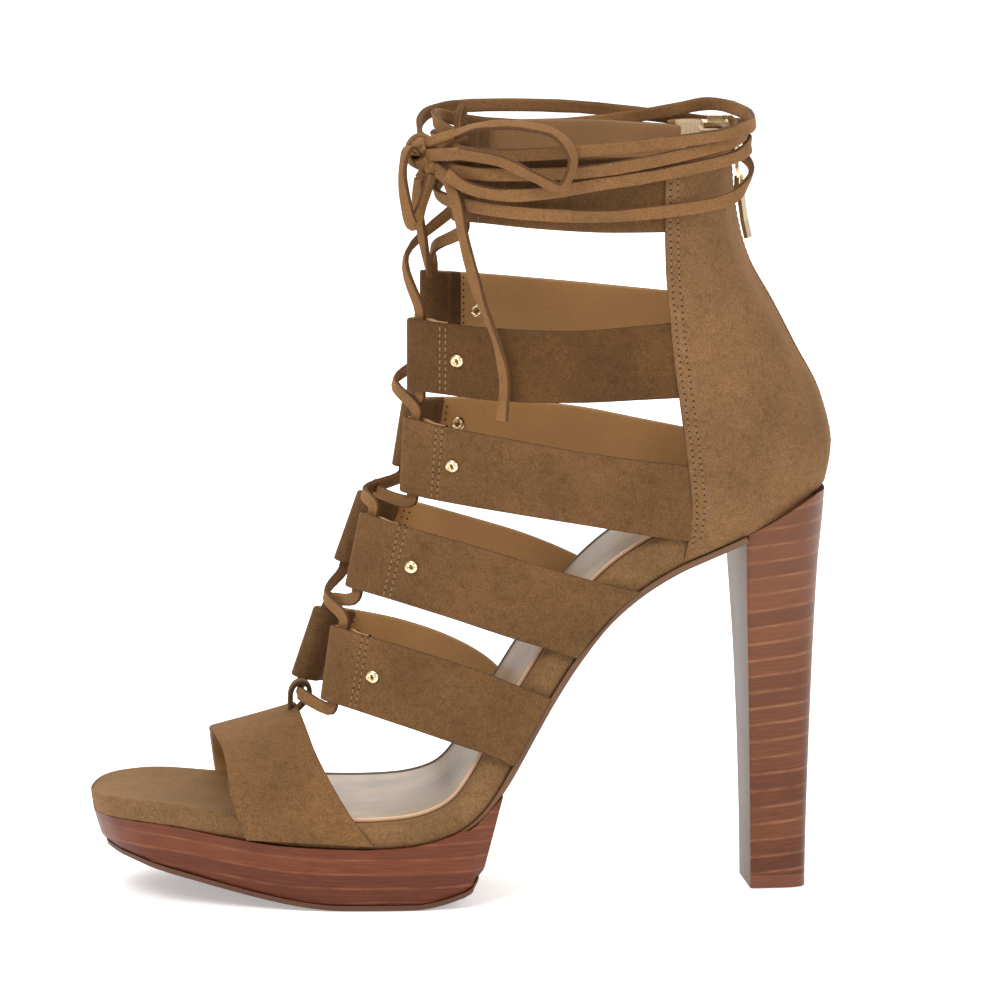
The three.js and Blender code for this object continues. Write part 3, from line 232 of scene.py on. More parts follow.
# ---------------------------------------------------------------- materials
def srgb(r, g, b):
    out = []
    for c in (r, g, b):
        c = c / 255.0
        out.append(c / 12.92 if c <= 0.04045 else ((c + 0.055) / 1.055) ** 2.4)
    return (*out, 1.0)


class Mat:
    def __init__(self, name, **sockets):
        self.m = bpy.data.materials.new(name)
        self.m.use_nodes = True
        self.t = self.m.node_tree
        self.t.nodes.clear()
        self.out = self.t.nodes.new("ShaderNodeOutputMaterial")
        self.b = self.t.nodes.new("ShaderNodeBsdfPrincipled")
        self.t.links.new(self.b.outputs[0], self.out.inputs[0])
        self.coord = self.t.nodes.new("ShaderNodeTexCoord")
        for k, val in sockets.items():
            self.b.inputs[k.replace("_", " ")].default_value = val

    def link(self, a, b):
        self.t.links.new(a, b)

    def noise(self, scale, detail=3.0, rough=0.55, kind="Object", stretch=None, distort=0.0):
        n = self.t.nodes.new("ShaderNodeTexNoise")
        n.inputs["Scale"].default_value = scale
        n.inputs["Detail"].default_value = detail
        n.inputs["Roughness"].default_value = rough
        n.inputs["Distortion"].default_value = distort
        src = self.coord.outputs[kind]
        if stretch is not None:
            mp = self.t.nodes.new("ShaderNodeMapping")
            mp.inputs["Scale"].default_value = stretch
            self.link(src, mp.inputs["Vector"])
            src = mp.outputs["Vector"]
        self.link(src, n.inputs["Vector"])
        return n.outputs["Fac"]

    def ramp(self, fac, stops):
        r = self.t.nodes.new("ShaderNodeValToRGB")
        e = r.color_ramp.elements
        while len(e) < len(stops):
            e.new(0.5)
        for item, (pos, col) in zip(e, stops):
            item.position = pos
            item.color = col
        self.link(fac, r.inputs["Fac"])
        return r.outputs["Color"]

    def math(self, op, a, b=None, c=None, clamp=False):
        n = self.t.nodes.new("ShaderNodeMath")
        n.operation = op
        n.use_clamp = clamp
        for i, x in enumerate((a, b, c)):
            if x is None:
                continue
            if isinstance(x, (int, float)):
                n.inputs[i].default_value = x
            else:
                self.link(x, n.inputs[i])
        return n.outputs[0]

    def mix(self, fac, a, b, mode="MIX"):
        n = self.t.nodes.new("ShaderNodeMix")
        n.data_type = "RGBA"
        n.blend_type = mode
        for sock, x in ((n.inputs[0], fac), (n.inputs[6], a), (n.inputs[7], b)):
            if isinstance(x, (int, float, tuple)):
                sock.default_value = x
            else:
                self.link(x, sock)
        return n.outputs[2]

    def bump(self, height, strength, distance, after=None):
        n = self.t.nodes.new("ShaderNodeBump")
        n.inputs["Strength"].default_value = strength
        n.inputs["Distance"].default_value = distance
        self.link(height, n.inputs["Height"])
        if after is not None:
            self.link(after, n.inputs["Normal"])
        return n.outputs[0]

    def set(self, name, value):
        self.link(value, self.b.inputs[name])
        return self


def tint(c, k):
    return (min(1, c[0] * k), min(1, c[1] * k), min(1, c[2] * k), 1.0)


def suede(name, base, depth=1.0, sheen=0.28, fine=1900.0):
    m = Mat(name, Roughness=0.93)
    m.b.inputs["Specular IOR Level"].default_value = 0.22
    m.b.inputs["Sheen Weight"].default_value = sheen
    m.b.inputs["Sheen Roughness"].default_value = 0.45
    m.b.inputs["Sheen Tint"].default_value = tint(base, 2.6)
    big = m.noise(48.0, 2.0, 0.5)
    mid = m.noise(420.0, 4.0, 0.66, distort=0.4)
    tiny = m.noise(fine, 3.0, 0.7)
    c0 = m.ramp(big, [(0.30, tint(base, 1 - 0.16 * depth)), (0.5, base), (0.70, tint(base, 1 + 0.18 * depth))])
    c1 = m.ramp(mid, [(0.26, (0.56, 0.53, 0.48, 1)), (0.46, (0.88, 0.87, 0.85, 1)), (0.66, (1, 1, 1, 1))])
    c2 = m.ramp(tiny, [(0.34, (0.50, 0.47, 0.42, 1)), (0.62, (1, 1, 1, 1))])
    c = m.mix(0.75 * depth, c0, c1, "MULTIPLY")
    c = m.mix(0.8, c, c2, "MULTIPLY")
    m.set("Base Color", c)
    nb = m.bump(tiny, 0.32, 0.00022)
    nb = m.bump(mid, 0.22, 0.0006, nb)
    m.set("Normal", nb)
    return m.m


def smooth_leather(name, base, rough=0.62):
    m = Mat(name)
    m.b.inputs["Specular IOR Level"].default_value = 0.35
    big = m.noise(40.0, 2.0, 0.5)
    pore = m.noise(1500.0, 2.0, 0.6)
    c0 = m.ramp(big, [(0.3, tint(base, 0.88)), (0.7, tint(base, 1.10))])
    c1 = m.ramp(pore, [(0.3, (0.88, 0.87, 0.85, 1)), (0.6, (1, 1, 1, 1))])
    m.set("Base Color", m.mix(0.8, c0, c1, "MULTIPLY"))
    m.set("Roughness", m.math("MULTIPLY_ADD", big, 0.16, rough - 0.08))
    m.set("Normal", m.bump(pore, 0.12, 0.0002))
    return m.m


def stacked(name, pitch, low=(80, 40, 20), high=(103, 56, 32), glue=(146, 98, 68), painted_light_height=None):
    """Layers of board seen edge on. UV: u along in mm, v across the layers in mm."""
    m = Mat(name)
    m.b.inputs["Specular IOR Level"].default_value = 0.22
    m.b.inputs["Coat Weight"].default_value = 0.05
    m.b.inputs["Coat Roughness"].default_value = 0.35
    sep = m.t.nodes.new("ShaderNodeSeparateXYZ")
    m.link(m.coord.outputs["UV"], sep.inputs[0])
    u, v = sep.outputs[0], sep.outputs[1]
    wob = m.noise(26.0, 2.0, 0.5)
    vv = m.math("ADD", m.math("MULTIPLY_ADD", wob, 1.6, -0.8), v)
    band = m.math("DIVIDE", m.math("ADD", vv, 1000.0), pitch)
    cell = m.math("FLOOR", band)
    part = m.math("FRACT", band)
    edge = m.math("ABSOLUTE", m.math("SUBTRACT", part, 0.5))
    line = m.math("SUBTRACT", edge, 0.37)
    line = m.math("MULTIPLY", line, 7.7, clamp=True)
    white = m.t.nodes.new("ShaderNodeTexWhiteNoise")
    white.noise_dimensions = "1D"
    m.link(cell, white.inputs["W"])
    # fibres run along the layer
    comb = m.t.nodes.new("ShaderNodeCombineXYZ")
    m.link(m.math("MULTIPLY", u, 0.10), comb.inputs[0])
    m.link(m.math("MULTIPLY", v, 1.6), comb.inputs[1])
    fib = m.t.nodes.new("ShaderNodeTexNoise")
    fib.inputs["Scale"].default_value = 1.0
    fib.inputs["Detail"].default_value = 5.0
    fib.inputs["Roughness"].default_value = 0.65
    m.link(comb.outputs[0], fib.inputs["Vector"])
    tone = m.math("ADD", m.math("MULTIPLY", white.outputs["Value"], 0.30), m.math("MULTIPLY", fib.outputs["Fac"], 0.90))
    body = m.ramp(tone, [(0.30, tint(srgb(*low), 0.66)), (0.56, srgb(*low)), (0.82, srgb(*high))])
    strength = m.ramp(m.noise(90.0, 4.0, 0.65), [(0.34, (0.1, 0.1, 0.1, 1)), (0.64, (1, 1, 1, 1))])
    fac = m.math("MULTIPLY", line, strength)
    col = m.mix(m.math("MULTIPLY", fac, 0.75), body, srgb(*glue))
    # painted light: when this height is given, the stack's colour lightens towards the top, mixing in a paler brown
    if painted_light_height is not None:
        z = m.math("DIVIDE", v, painted_light_height)
        col = m.mix(m.math("MULTIPLY", z, 0.45, clamp=True), col, srgb(134, 88, 60), "MIX")
    m.set("Base Color", col)
    m.set("Roughness", m.math("MULTIPLY_ADD", fib.outputs["Fac"], 0.22, 0.34))
    h = m.math("SUBTRACT", m.math("MULTIPLY", fib.outputs["Fac"], 0.6), m.math("MULTIPLY", line, 0.7))
    m.set("Normal", m.bump(h, 0.25, 0.00025))
    return m.m


def metal(name, col, rough=0.22):
    m = Mat(name, Metallic=1.0)
    n = m.noise(900.0, 2.0, 0.5)
    m.set("Base Color", m.ramp(n, [(0.3, tint(col, 0.90)), (0.7, col)]))
    m.set("Roughness", m.math("MULTIPLY_ADD", n, 0.14, rough - 0.06))
    m.set("Normal", m.bump(n, 0.05, 0.0001))
    return m.m


SUEDE = suede("suede_taupe", srgb(108, 77, 46))
SUEDE_TOE = suede("suede_toe", srgb(117, 84, 51))
SUEDE_TOP = suede("suede_top_strap", srgb(91, 62, 33))
SUEDE_BACK = suede("suede_counter", srgb(126, 93, 60), 1.0)
SUEDE_RAND = suede("suede_rand", srgb(124, 93, 60), 0.9)
EDGE = suede("suede_cut_edge", srgb(70, 48, 29), 0.5, 0.1)
LACE = suede("lace_suede", srgb(129, 93, 57), 0.7, 0.3, 2400.0)
LACE_EDGE = suede("lace_edge", srgb(92, 62, 38), 0.5, 0.15, 2400.0)
LINING = smooth_leather("lining_tan", srgb(174, 131, 80), 0.55)
# painted shade: a darker copy of the tan lining for the collar straps' and counter's insides, which lie in the shade of
# the ties
LINING_PAINTED_SHADE = smooth_leather("lining_collar", srgb(122, 88, 52), 0.6)
# the heel's stack lightens towards its top: painted light
STACK_HEEL = stacked("stacked_heel", 5.0, painted_light_height=150.0)
STACK_PLATFORM = stacked("stacked_platform", 4.4, low=(88, 40, 19), high=(108, 54, 29), glue=(134, 80, 50))
DARK = smooth_leather("outsole_brown", srgb(88, 54, 36), 0.6)
LIFT = smooth_leather("heel_piece_brown", srgb(104, 56, 36), 0.45)
# painted reflection: the pale grey-brown of the heel's breast faces stands in for the white surroundings reflected at a
# grazing angle
BREAST_PAINTED_REFLECTION = smooth_leather("breast_painted_reflection", srgb(98, 84, 74), 0.5)
SHANK_EDGE = smooth_leather("sole_edge", srgb(100, 68, 44), 0.5)
SHANK_FACE = smooth_leather("sole_pale", srgb(226, 206, 184), 0.45)
BRASS = metal("brass", srgb(242, 222, 180), 0.18)
BRASS_DARK = metal("brass_hollow", srgb(120, 88, 48), 0.45)
THREAD = smooth_leather("thread", srgb(128, 98, 65), 0.8)
HOLE = smooth_leather("needle_hole", srgb(58, 40, 26), 0.9)


def sock_material():
    m = Mat("sock_metallic", Metallic=0.12)
    m.b.inputs["Specular IOR Level"].default_value = 0.5
    streak = m.noise(1.0, 4.0, 0.6, stretch=(22.0, 160.0, 22.0))
    soft = m.noise(34.0, 3.0, 0.6, distort=0.6)
    crackle = m.noise(700.0, 3.0, 0.6)
    c0 = m.ramp(soft, [(0.30, srgb(143, 124, 102)), (0.5, srgb(168, 146, 121)), (0.7, srgb(188, 166, 140))])
    c1 = m.ramp(streak, [(0.30, (0.80, 0.79, 0.77, 1)), (0.55, (1, 1, 1, 1))])
    m.set("Base Color", m.mix(0.7, c0, c1, "MULTIPLY"))
    m.set("Roughness", m.math("MULTIPLY_ADD", soft, 0.25, 0.28))
    m.set("Normal", m.bump(crackle, 0.16, 0.0002, m.bump(soft, 0.2, 0.0008)))
    return m.m


SOCK = sock_material()
SOCK_EDGE = smooth_leather("sock_edge", srgb(204, 168, 136), 0.6)
SOCK_FAR = smooth_leather("sock_far_edge", srgb(108, 94, 80), 0.6)


def tape_material():
    m = Mat("zip_tape", Roughness=0.85)
    w = m.t.nodes.new("ShaderNodeTexWave")
    w.inputs["Scale"].default_value = 900.0
    w.inputs["Distortion"].default_value = 1.0
    m.link(m.coord.outputs["Object"], w.inputs["Vector"])
    n = m.noise(1600.0, 2.0, 0.6)
    c = m.ramp(w.outputs["Fac"], [(0.2, srgb(166, 138, 104)), (0.8, srgb(206, 184, 154))])
    m.set("Base Color", m.mix(0.5, c, m.ramp(n, [(0.3, (0.7, 0.7, 0.7, 1)), (0.6, (1, 1, 1, 1))]), "MULTIPLY"))
    m.set("Normal", m.bump(w.outputs["Fac"], 0.4, 0.0003))
    return m.m


TAPE = tape_material()

# ------------------------------------------------------------------ sizes, mm
GAP, WALL, SOLE_T, INSOLE_T, OUTSOLE_T, LIFT_T = 0.3, 1.8, 1.7, 1.0, 1.6, 4.0
LACE_W, LACE_T, RIVET_R = 3.9, 1.5, 2.1

SOLE = Table("x z t c w", [
    (-120.5, 24.2, 4.4, 6.6, 4.5), (-119.0, 24.3, 5.2, 6.4, 12.5), (-115.5, 24.4, 5.8, 6.2, 20.0),
    (-109.0, 24.4, 6.1, 5.6, 26.5), (-99.0, 23.9, 6.3, 4.8, 31.8), (-84.0, 21.9, 6.5, 3.2, 36.3),
    (-68.0, 19.9, 6.7, 1.6, 39.0), (-52.0, 19.1, 6.9, 0.0, 40.3), (-38.0, 19.0, 7.1, -1.4, 40.0),
    (-26.0, 20.0, 7.4, -2.8, 38.4), (-16.5, 22.7, 7.8, -3.9, 36.2), (-9.6, 27.0, 8.2, -4.7, 34.2),
    (-4.0, 33.6, 8.5, -5.1, 32.4), (1.6, 43.0, 8.6, -5.4, 31.0), (7.2, 53.0, 8.6, -5.5, 29.8),
    (12.9, 62.8, 8.5, -5.4, 28.9), (20.0, 73.4, 8.8, -5.1, 27.8), (28.8, 84.2, 9.6, -4.6, 26.7),
    (39.0, 92.8, 10.4, -4.0, 25.9), (50.0, 99.2, 10.2, -2.8, 25.4), (60.0, 103.4, 9.0, -1.6, 25.3),
    (70.0, 107.5, 7.5, -0.7, 24.8), (79.0, 111.8, 6.5, 0.1, 23.0), (87.0, 116.0, 5.0, 0.6, 18.6),
    (91.2, 118.2, 4.8, 0.9, 13.0), (93.4, 119.3, 4.4, 1.0, 6.0)])
PLATFORM = Table("x zb inset", [
    (-116.6, 12.9, 2.2), (-112.0, 12.1, 2.5), (-107.0, 11.1, 2.8), (-98.0, 9.0, 3.2), (-89.0, 6.9, 3.4), (-80.0, 4.8, 3.4),
    (-71.0, 2.8, 3.2), (-63.0, 1.3, 3.0), (-56.0, 0.4, 2.9), (-50.0, 0.0, 2.9), (-27.0, 0.0, 2.9),
    (-20.0, 1.1, 2.9), (-13.0, 3.2, 3.0), (-8.6, 5.6, 3.4)])
BACK_X, BACK_Z, BACK_LEAN = -1.6, 34.0, 0.24
HEEL = Table("z xf xb w n", [
    (0.0, 72.8, 89.8, 12.6, 5.0), (20.0, 72.6, 90.2, 13.2, 4.6), (50.0, 72.0, 91.2, 14.9, 4.0),
    (78.0, 71.2, 92.4, 17.6, 3.4), (98.0, 70.4, 93.6, 21.0, 2.9), (112.0, 69.9, 95.0, 24.0, 2.6),
    (126.0, 69.7, 96.0, 25.4, 2.5)])
COUNTER = Table("xf zf xb zb w n", [
    (50.5, 98.4, 95.6, 118.8, 27.4, 2.3), (53.0, 111.0, 97.4, 127.0, 29.6, 2.3),
    (53.0, 121.0, 97.8, 133.0, 31.0, 2.25), (51.8, 132.0, 96.6, 140.0, 31.8, 2.2),
    (50.2, 146.0, 93.4, 150.0, 32.2, 2.1), (48.4, 160.0, 87.6, 160.8, 32.4, 2.0),
    (47.0, 174.0, 80.8, 174.0, 32.6, 2.0), (46.0, 187.0, 73.6, 187.0, 33.0, 2.0),
    (45.6, 200.0, 69.9, 199.6, 33.6, 2.0), (45.6, 212.0, 68.3, 212.6, 34.0, 2.0),
    (45.8, 222.6, 67.9, 225.6, 34.2, 2.0)])
AXIS_X0, AXIS_Y0, AXIS_SLOPE, FAR_BACK = 50.0, -0.6, 0.035, 6.0
ZIP_HALF, ZIP_FOOT = 1.5, 2.0
STRAP_NAMES = "xt yt zt xb yb zb"
STRAPS = {k: Table(STRAP_NAMES, r) for k, r in {
    "s1_near": [(-26.6, -15.6, 171.9, -26.6, -15.6, 150.6), (-19.0, -22.6, 171.9, -19.0, -22.6, 150.6),
                (-2.0, -29.6, 171.0, -2.0, -29.6, 149.4), (21.0, -32.6, 170.6, 21.0, -32.6, 149.1),
                (40.0, -32.6, 172.0, 40.0, -32.6, 149.8), (53.0, -31.9, 173.0, 53.0, -31.7, 150.2)],
    "s1_far": [(-21.0, 16.8, 181.8, -21.0, 16.8, 159.6), (-11.5, 24.8, 180.0, -11.5, 24.8, 157.6),
               (8.0, 31.2, 177.4, 8.0, 31.2, 154.8), (28.0, 32.4, 175.2, 28.0, 32.4, 152.6),
               (42.0, 31.4, 173.8, 42.0, 31.4, 151.2), (61.0, 30.9, 171.8, 61.0, 30.8, 149.6)],
    "s2_near": [(-27.6, -16.8, 142.6, -28.8, -16.4, 120.2), (-20.0, -23.0, 141.6, -21.6, -22.6, 119.3),
                (-2.0, -29.9, 138.8, -2.8, -30.0, 116.8), (24.0, -32.7, 134.2, 23.4, -32.4, 112.6),
                (44.0, -31.8, 131.2, 43.2, -31.0, 108.9), (57.0, -31.3, 129.6, 56.4, -28.9, 106.8)],
    "s2_far": [(-26.0, 17.0, 143.8, -29.6, 14.6, 123.6), (-16.0, 24.7, 142.6, -19.0, 23.8, 121.1),
               (2.0, 30.7, 141.0, 2.0, 30.7, 119.0), (24.4, 32.5, 138.2, 24.4, 32.2, 115.6),
               (44.0, 31.0, 134.4, 43.6, 30.2, 111.8), (63.4, 30.2, 130.4, 62.6, 28.4, 107.6)],
    "collar_near": [(-14.0, -16.6, 219.0, -14.0, -16.6, 200.8), (-7.0, -25.0, 220.2, -7.0, -25.0, 201.4),
                    (9.0, -32.0, 221.4, 8.0, -31.8, 200.6), (26.0, -33.8, 221.8, 25.4, -33.6, 199.6),
                    (38.0, -34.0, 221.9, 38.0, -33.6, 199.4), (51.0, -33.5, 221.9, 51.0, -32.9, 199.4)],
    "collar_far": [(-12.4, 19.6, 224.0, -12.4, 19.6, 204.6), (-4.0, 27.0, 224.4, -4.0, 27.0, 203.8),
                   (12.0, 32.4, 224.3, 12.0, 32.2, 202.8), (28.0, 33.4, 224.0, 28.0, 33.0, 202.4),
                   (40.0, 32.6, 223.4, 40.0, 32.2, 201.6), (57.6, 30.6, 222.2, 57.6, 30.2, 200.8)],
    "strap_3_near": [(-40.6, -16.6, 114.4, -45.2, -18.4, 92.6), (-31.0, -26.0, 112.6, -36.0, -27.2, 91.2),
                     (-11.0, -33.3, 107.7, -19.0, -33.6, 86.6), (9.0, -35.3, 101.6, -1.0, -36.2, 80.8),
                     (26.0, -34.0, 96.4, 12.0, -36.6, 76.8), (39.4, -32.2, 92.7, 20.4, -35.4, 73.6)],
    "strap_3_far": [(-38.6, 19.4, 115.4, -46.4, 17.0, 95.0), (-26.0, 26.3, 111.6, -34.0, 25.4, 90.6),
                    (-9.8, 29.8, 106.4, -17.0, 29.8, 84.4), (8.0, 29.8, 100.9, -2.0, 30.0, 79.6),
                    (22.0, 27.6, 95.4, 9.0, 28.4, 74.6), (34.0, 24.8, 89.4, 16.0, 25.9, 67.6)],
    "strap_4_near": [(-49.6, -19.0, 81.2, -53.0, -18.6, 59.0), (-42.0, -27.2, 80.2, -46.0, -27.4, 58.2),
                     (-26.0, -34.8, 76.4, -31.0, -35.2, 54.2), (-8.0, -38.2, 70.8, -15.0, -39.2, 49.2),
                     (4.0, -38.4, 66.0, -5.0, -40.2, 45.8), (13.2, -37.2, 62.0, 2.0, -39.3, 42.3)],
    "strap_4_far": [(-52.2, 18.6, 81.2, -59.4, 17.4, 60.6), (-43.0, 25.6, 79.0, -49.6, 25.8, 57.4),
                    (-27.8, 30.8, 74.8, -34.0, 31.4, 53.0), (-13.0, 32.0, 69.4, -19.6, 33.2, 47.8),
                    (-1.0, 30.2, 62.6, -9.8, 32.0, 40.6), (7.6, 27.3, 53.4, -4.6, 30.0, 32.4)],
}.items()}
TOE = Table("xf xb yf yb zf zb", [
    (-77.3, -40.0, -39.6, -42.9, 21.8, 19.9),
    (-79.6, -46.6, -39.0, -41.2, 27.6, 28.8),
    (-81.8, -52.2, -35.6, -36.6, 34.4, 38.2),
    (-82.4, -56.4, -27.4, -27.4, 40.6, 46.4),
    (-83.2, -58.8, -14.4, -14.0, 44.8, 52.2),
    (-85.2, -60.0, 2.0, 1.0, 46.9, 54.6),
    (-85.4, -59.8, 18.0, 15.6, 45.4, 52.6),
    (-84.6, -58.8, 30.6, 28.6, 41.0, 46.8),
    (-83.6, -56.2, 38.2, 37.4, 34.8, 38.4),
    (-82.6, -52.6, 41.6, 41.8, 28.2, 28.8),
    (-81.6, -49.4, 42.0, 42.6, 22.6, 20.2),
])
FOLD = Table("f i", [(-1.4, 0.0), (0.0, 0.0), (1.6, 0.25), (2.9, 1.05), (3.4, 2.3), (2.9, 3.55), (1.6, 4.35),
                     (0.0, 4.6), (-2.6, 4.5), (-5.0, 3.3), (-7.2, 2.25), (-11.0, 2.15)])


# ----------------------------------------------------------------- the frames
def strap_frame(tab, u):
    e, n = 0.02, tab.last

    def pt(w):
        r = tab.at(w)
        return v3(r["xt"], r["yt"], r["zt"]), v3(r["xb"], r["yb"], r["zb"])
    a, b, p = pt(max(0, u - e)), pt(min(n, u + e)), pt(u)
    along_t, along_b = unit(b[0] - a[0]), unit(b[1] - a[1])
    width = unit(p[0] - p[1])
    side = 1 if tab.c["yt"][0] < 0 else -1
    n_t, n_b = unit(np.cross(along_t, width) * side), unit(np.cross(along_b, width) * side)
    return {"top": p[0], "bot": p[1], "at": along_t, "ab": along_b, "nt": n_t, "nb": n_b}


def strap_point(f, s, d):
    """s: 0 lower edge, 1 upper edge; d: depth in from the outer face."""
    return f["bot"] + (f["top"] - f["bot"]) * s - (f["nb"] + (f["nt"] - f["nb"]) * s) * d


def seat(u):
    e = 0.02
    a, b = SOLE.at(max(0, u - e)), SOLE.at(min(SOLE.last, u + e))
    d = math.hypot(b["x"] - a["x"], b["z"] - a["z"])
    r = SOLE.at(u)
    r["nx"], r["nz"] = -(b["z"] - a["z"]) / d, (b["x"] - a["x"]) / d
    return r


SEAT_LINE = [seat(u) for u in spaced(0, SOLE.last, 900)]
SEAT_XZ = np.array([(s["x"], s["z"]) for s in SEAT_LINE])
SEAT_N = np.array([(s["nx"], s["nz"]) for s in SEAT_LINE])


def keep_above_seat(verts, least=0.05, reach=16.0):
    """Points under the seat line come up to it: strap ends sit on the sole."""
    v = np.array(verts, float)
    for i in range(len(v)):
        d2 = (SEAT_XZ[:, 0] - v[i, 0]) ** 2 + (SEAT_XZ[:, 1] - v[i, 2]) ** 2
        k = int(np.argmin(d2))
        h = (v[i, 0] - SEAT_XZ[k, 0]) * SEAT_N[k, 0] + (v[i, 2] - SEAT_XZ[k, 1]) * SEAT_N[k, 1]
        if -reach < h < least:
            v[i, 0] += SEAT_N[k, 0] * (least - h)
            v[i, 2] += SEAT_N[k, 1] * (least - h)
    return v


def counter_point(r, a):
    th = a * math.pi
    cs, sn = math.cos(th), max(0.0, math.sin(th))
    xf = r["xf"] + (FAR_BACK if cs < 0 else 0)
    x = xf + (r["xb"] - xf) * sn ** (2 / r["n"])
    y = -math.copysign(1, cs) * r["w"] * abs(cs) ** (2 / r["n"])
    k = (x - r["xf"]) / (r["xb"] - r["xf"])
    return v3(x, y + AXIS_Y0 + (x - AXIS_X0) * AXIS_SLOPE, lerp(r["zf"], r["zb"], k))


def counter_grid(a, v):
    r = COUNTER.at(v)
    e = 0.004
    du = counter_point(r, min(1, a + e)) - counter_point(r, max(0, a - e))
    dv = (counter_point(COUNTER.at(min(COUNTER.last, v + 0.05)), a)
          - counter_point(COUNTER.at(max(0, v - 0.05)), a))
    return counter_point(r, a), unit(np.cross(du, dv))


# --------------------------------------------------------- smooth curve, strips
def centripetal(points, per):
    """Centripetal curve through points, per steps to a span."""
    p = [np.asarray(q, float) for q in points]
    out = []
    for i in range(len(p) - 1):
        p1, p2 = p[i], p[i + 1]
        p0 = p[i - 1] if i > 0 else 2 * p1 - p2
        p3 = p[i + 2] if i + 2 < len(p) else 2 * p2 - p1
        d0, d1, d2 = (max(1e-4, float(np.dot(b - a, b - a)) ** 0.25) for a, b in ((p0, p1), (p1, p2), (p2, p3)))
        t1 = ((p1 - p0) / d0 - (p2 - p0) / (d0 + d1) + (p2 - p1) / d1) * d1
        t2 = ((p2 - p1) / d1 - (p3 - p1) / (d1 + d2) + (p3 - p2) / d2) * d1
        for k in range(per + (1 if i == len(p) - 2 else 0)):
            t = k / per
            out.append((1 + t * t * (2 * t - 3)) * p1 + t * t * (3 - 2 * t) * p2
                       + t * (1 - t) ** 2 * t1 + t * t * (t - 1) * t2)
    return np.array(out)


# section of the flat lace: width, thickness in halves, soft corners
LACE_RING = [(-1.0, -0.35), (-1.0, 0.35), (-0.93, 0.8), (-0.8, 0.98), (-0.4, 1.0), (0.0, 0.94), (0.4, 1.0),
             (0.8, 0.98), (0.93, 0.8), (1.0, 0.35), (1.0, -0.35), (0.93, -0.8), (0.8, -0.98), (0.4, -1.0),
             (0.0, -0.94), (-0.4, -1.0), (-0.8, -0.98), (-0.93, -0.8)]
LACE_SIDE = [1, 1, 0, 0, 0, 0, 0, 0, 1, 1, 1, 0, 0, 0, 0, 0, 0, 1]


def flat_lace(name, line, normals, width=LACE_W, thick=LACE_T, wave=0.0, seed=1):
    """Flat lace along a line of points, its face turned to the given normals."""
    line = np.asarray(line)
    n = len(line)
    r = random.Random(seed)
    ph = [r.uniform(0, 6.28) for _ in range(3)]
    rings, uv, dist = [], [], 0.0
    for i in range(n):
        t = unit(line[min(n - 1, i + 1)] - line[max(0, i - 1)])
        nor = unit(normals[i] - t * float(np.dot(normals[i], t)))
        if wave:
            a = wave * (math.sin(dist * 0.11 + ph[0]) + 0.6 * math.sin(dist * 0.23 + ph[1]))
            nor = unit(nor * math.cos(a) + np.cross(t, nor) * math.sin(a))
        wid = np.cross(t, nor)
        k = 1 + 0.03 * math.sin(dist * 0.5 + ph[2])
        if i:
            dist += float(np.linalg.norm(line[i] - line[i - 1]))
        rings.append([line[i] + wid * (a * width * k / 2) + nor * (b * thick / 2) for a, b in LACE_RING])
    return loft(name, rings, [LACE, LACE_EDGE], side=LACE_SIDE, sharp=55)


def smooth_normals(keys, per):
    """Normals given at the route's points, eased between them."""
    out = []
    for i in range(len(keys) - 1):
        for k in range(per + (1 if i == len(keys) - 2 else 0)):
            t = k / per
            t = t * t * (3 - 2 * t)
            out.append(unit(lerp(keys[i], keys[i + 1], t)))
    return out


# ------------------------------------------------------------------ the cords
def tunnel(name, key, reach):
    f = strap_frame(STRAPS[name], 0)
    nor, p, along = (f["nt"], f["top"], f["at"]) if key == "top" else (f["nb"], f["bot"], f["ab"])
    d = unit(f["top"] - f["bot"]) * (1 if key == "top" else -1)
    return p + nor * (-WALL / 2 - 2.3) - along * 0.1 + d * reach, nor


ANKLE = dict(x=26.0, y=-0.2, a=43.2, b=34.9, nb=3.2, nf=2.5)
TIE_A = [(178, 227.2, 0.6), (200, 228.0, 2.6), (225, 224.4, 2.8), (250, 221.8, 2.8), (270, 222.0, 2.6),
         (292, 225.4, 3.2), (315, 228.4, 3.8), (360, 228.4, 5.0), (405, 228.6, 5.4), (450, 224.6, 2.8),
         (495, 222.4, 2.3), (540, 222.6, 1.5), (565, 221.6, 2.8), (590, 219.0, 3.2), (630, 217.6, 3.6),
         (675, 219.8, 4.4), (720, 221.6, 4.0), (765, 220.4, 3.8), (810, 214.3, 2.4), (838, 211.2, 3.6),
         (856, 213.0, 5.8), (868, 216.0, 6.0)]
TIE_B = [(195, 227.4, -4.4), (186, 219.5, -4.0), (177, 213.4, -1.0), (166, 209.2, 3.6), (135, 206.8, 2.8),
         (90, 205.2, 2.8), (45, 208.4, 3.8), (20, 212.6, 3.9), (0, 215.8, 3.8), (-45, 215.6, 4.2),
         (-90, 213.4, 3.2), (-135, 215.6, 3.0), (-180, 217.2, 3.2), (-225, 216.6, 2.6), (-270, 218.6, 2.6),
         (-315, 225.2, 3.8), (-360, 225.2, 3.4), (-388, 223.0, 6.0), (-410, 222.2, 7.4), (-450, 226.4, 6.4),
         (-492, 228.2, 6.2), (-512, 228.0, 6.5), (-530, 226.4, 6.5), (-542, 223.6, 6.2)]
KNOT = dict(x=-23.6, y=-11.8, z=220.6, rx=4.0, ry=6.2, rz=6.4)
BOW_LEFT = [(-25.0, -18.4, 222.4), (-28.4, -21.4, 223.2), (-30.0, -22.6, 217.4), (-29.2, -22.2, 208.0),
            (-27.0, -21.4, 200.6), (-24.2, -21.0, 207.0), (-21.4, -20.2, 215.4)]
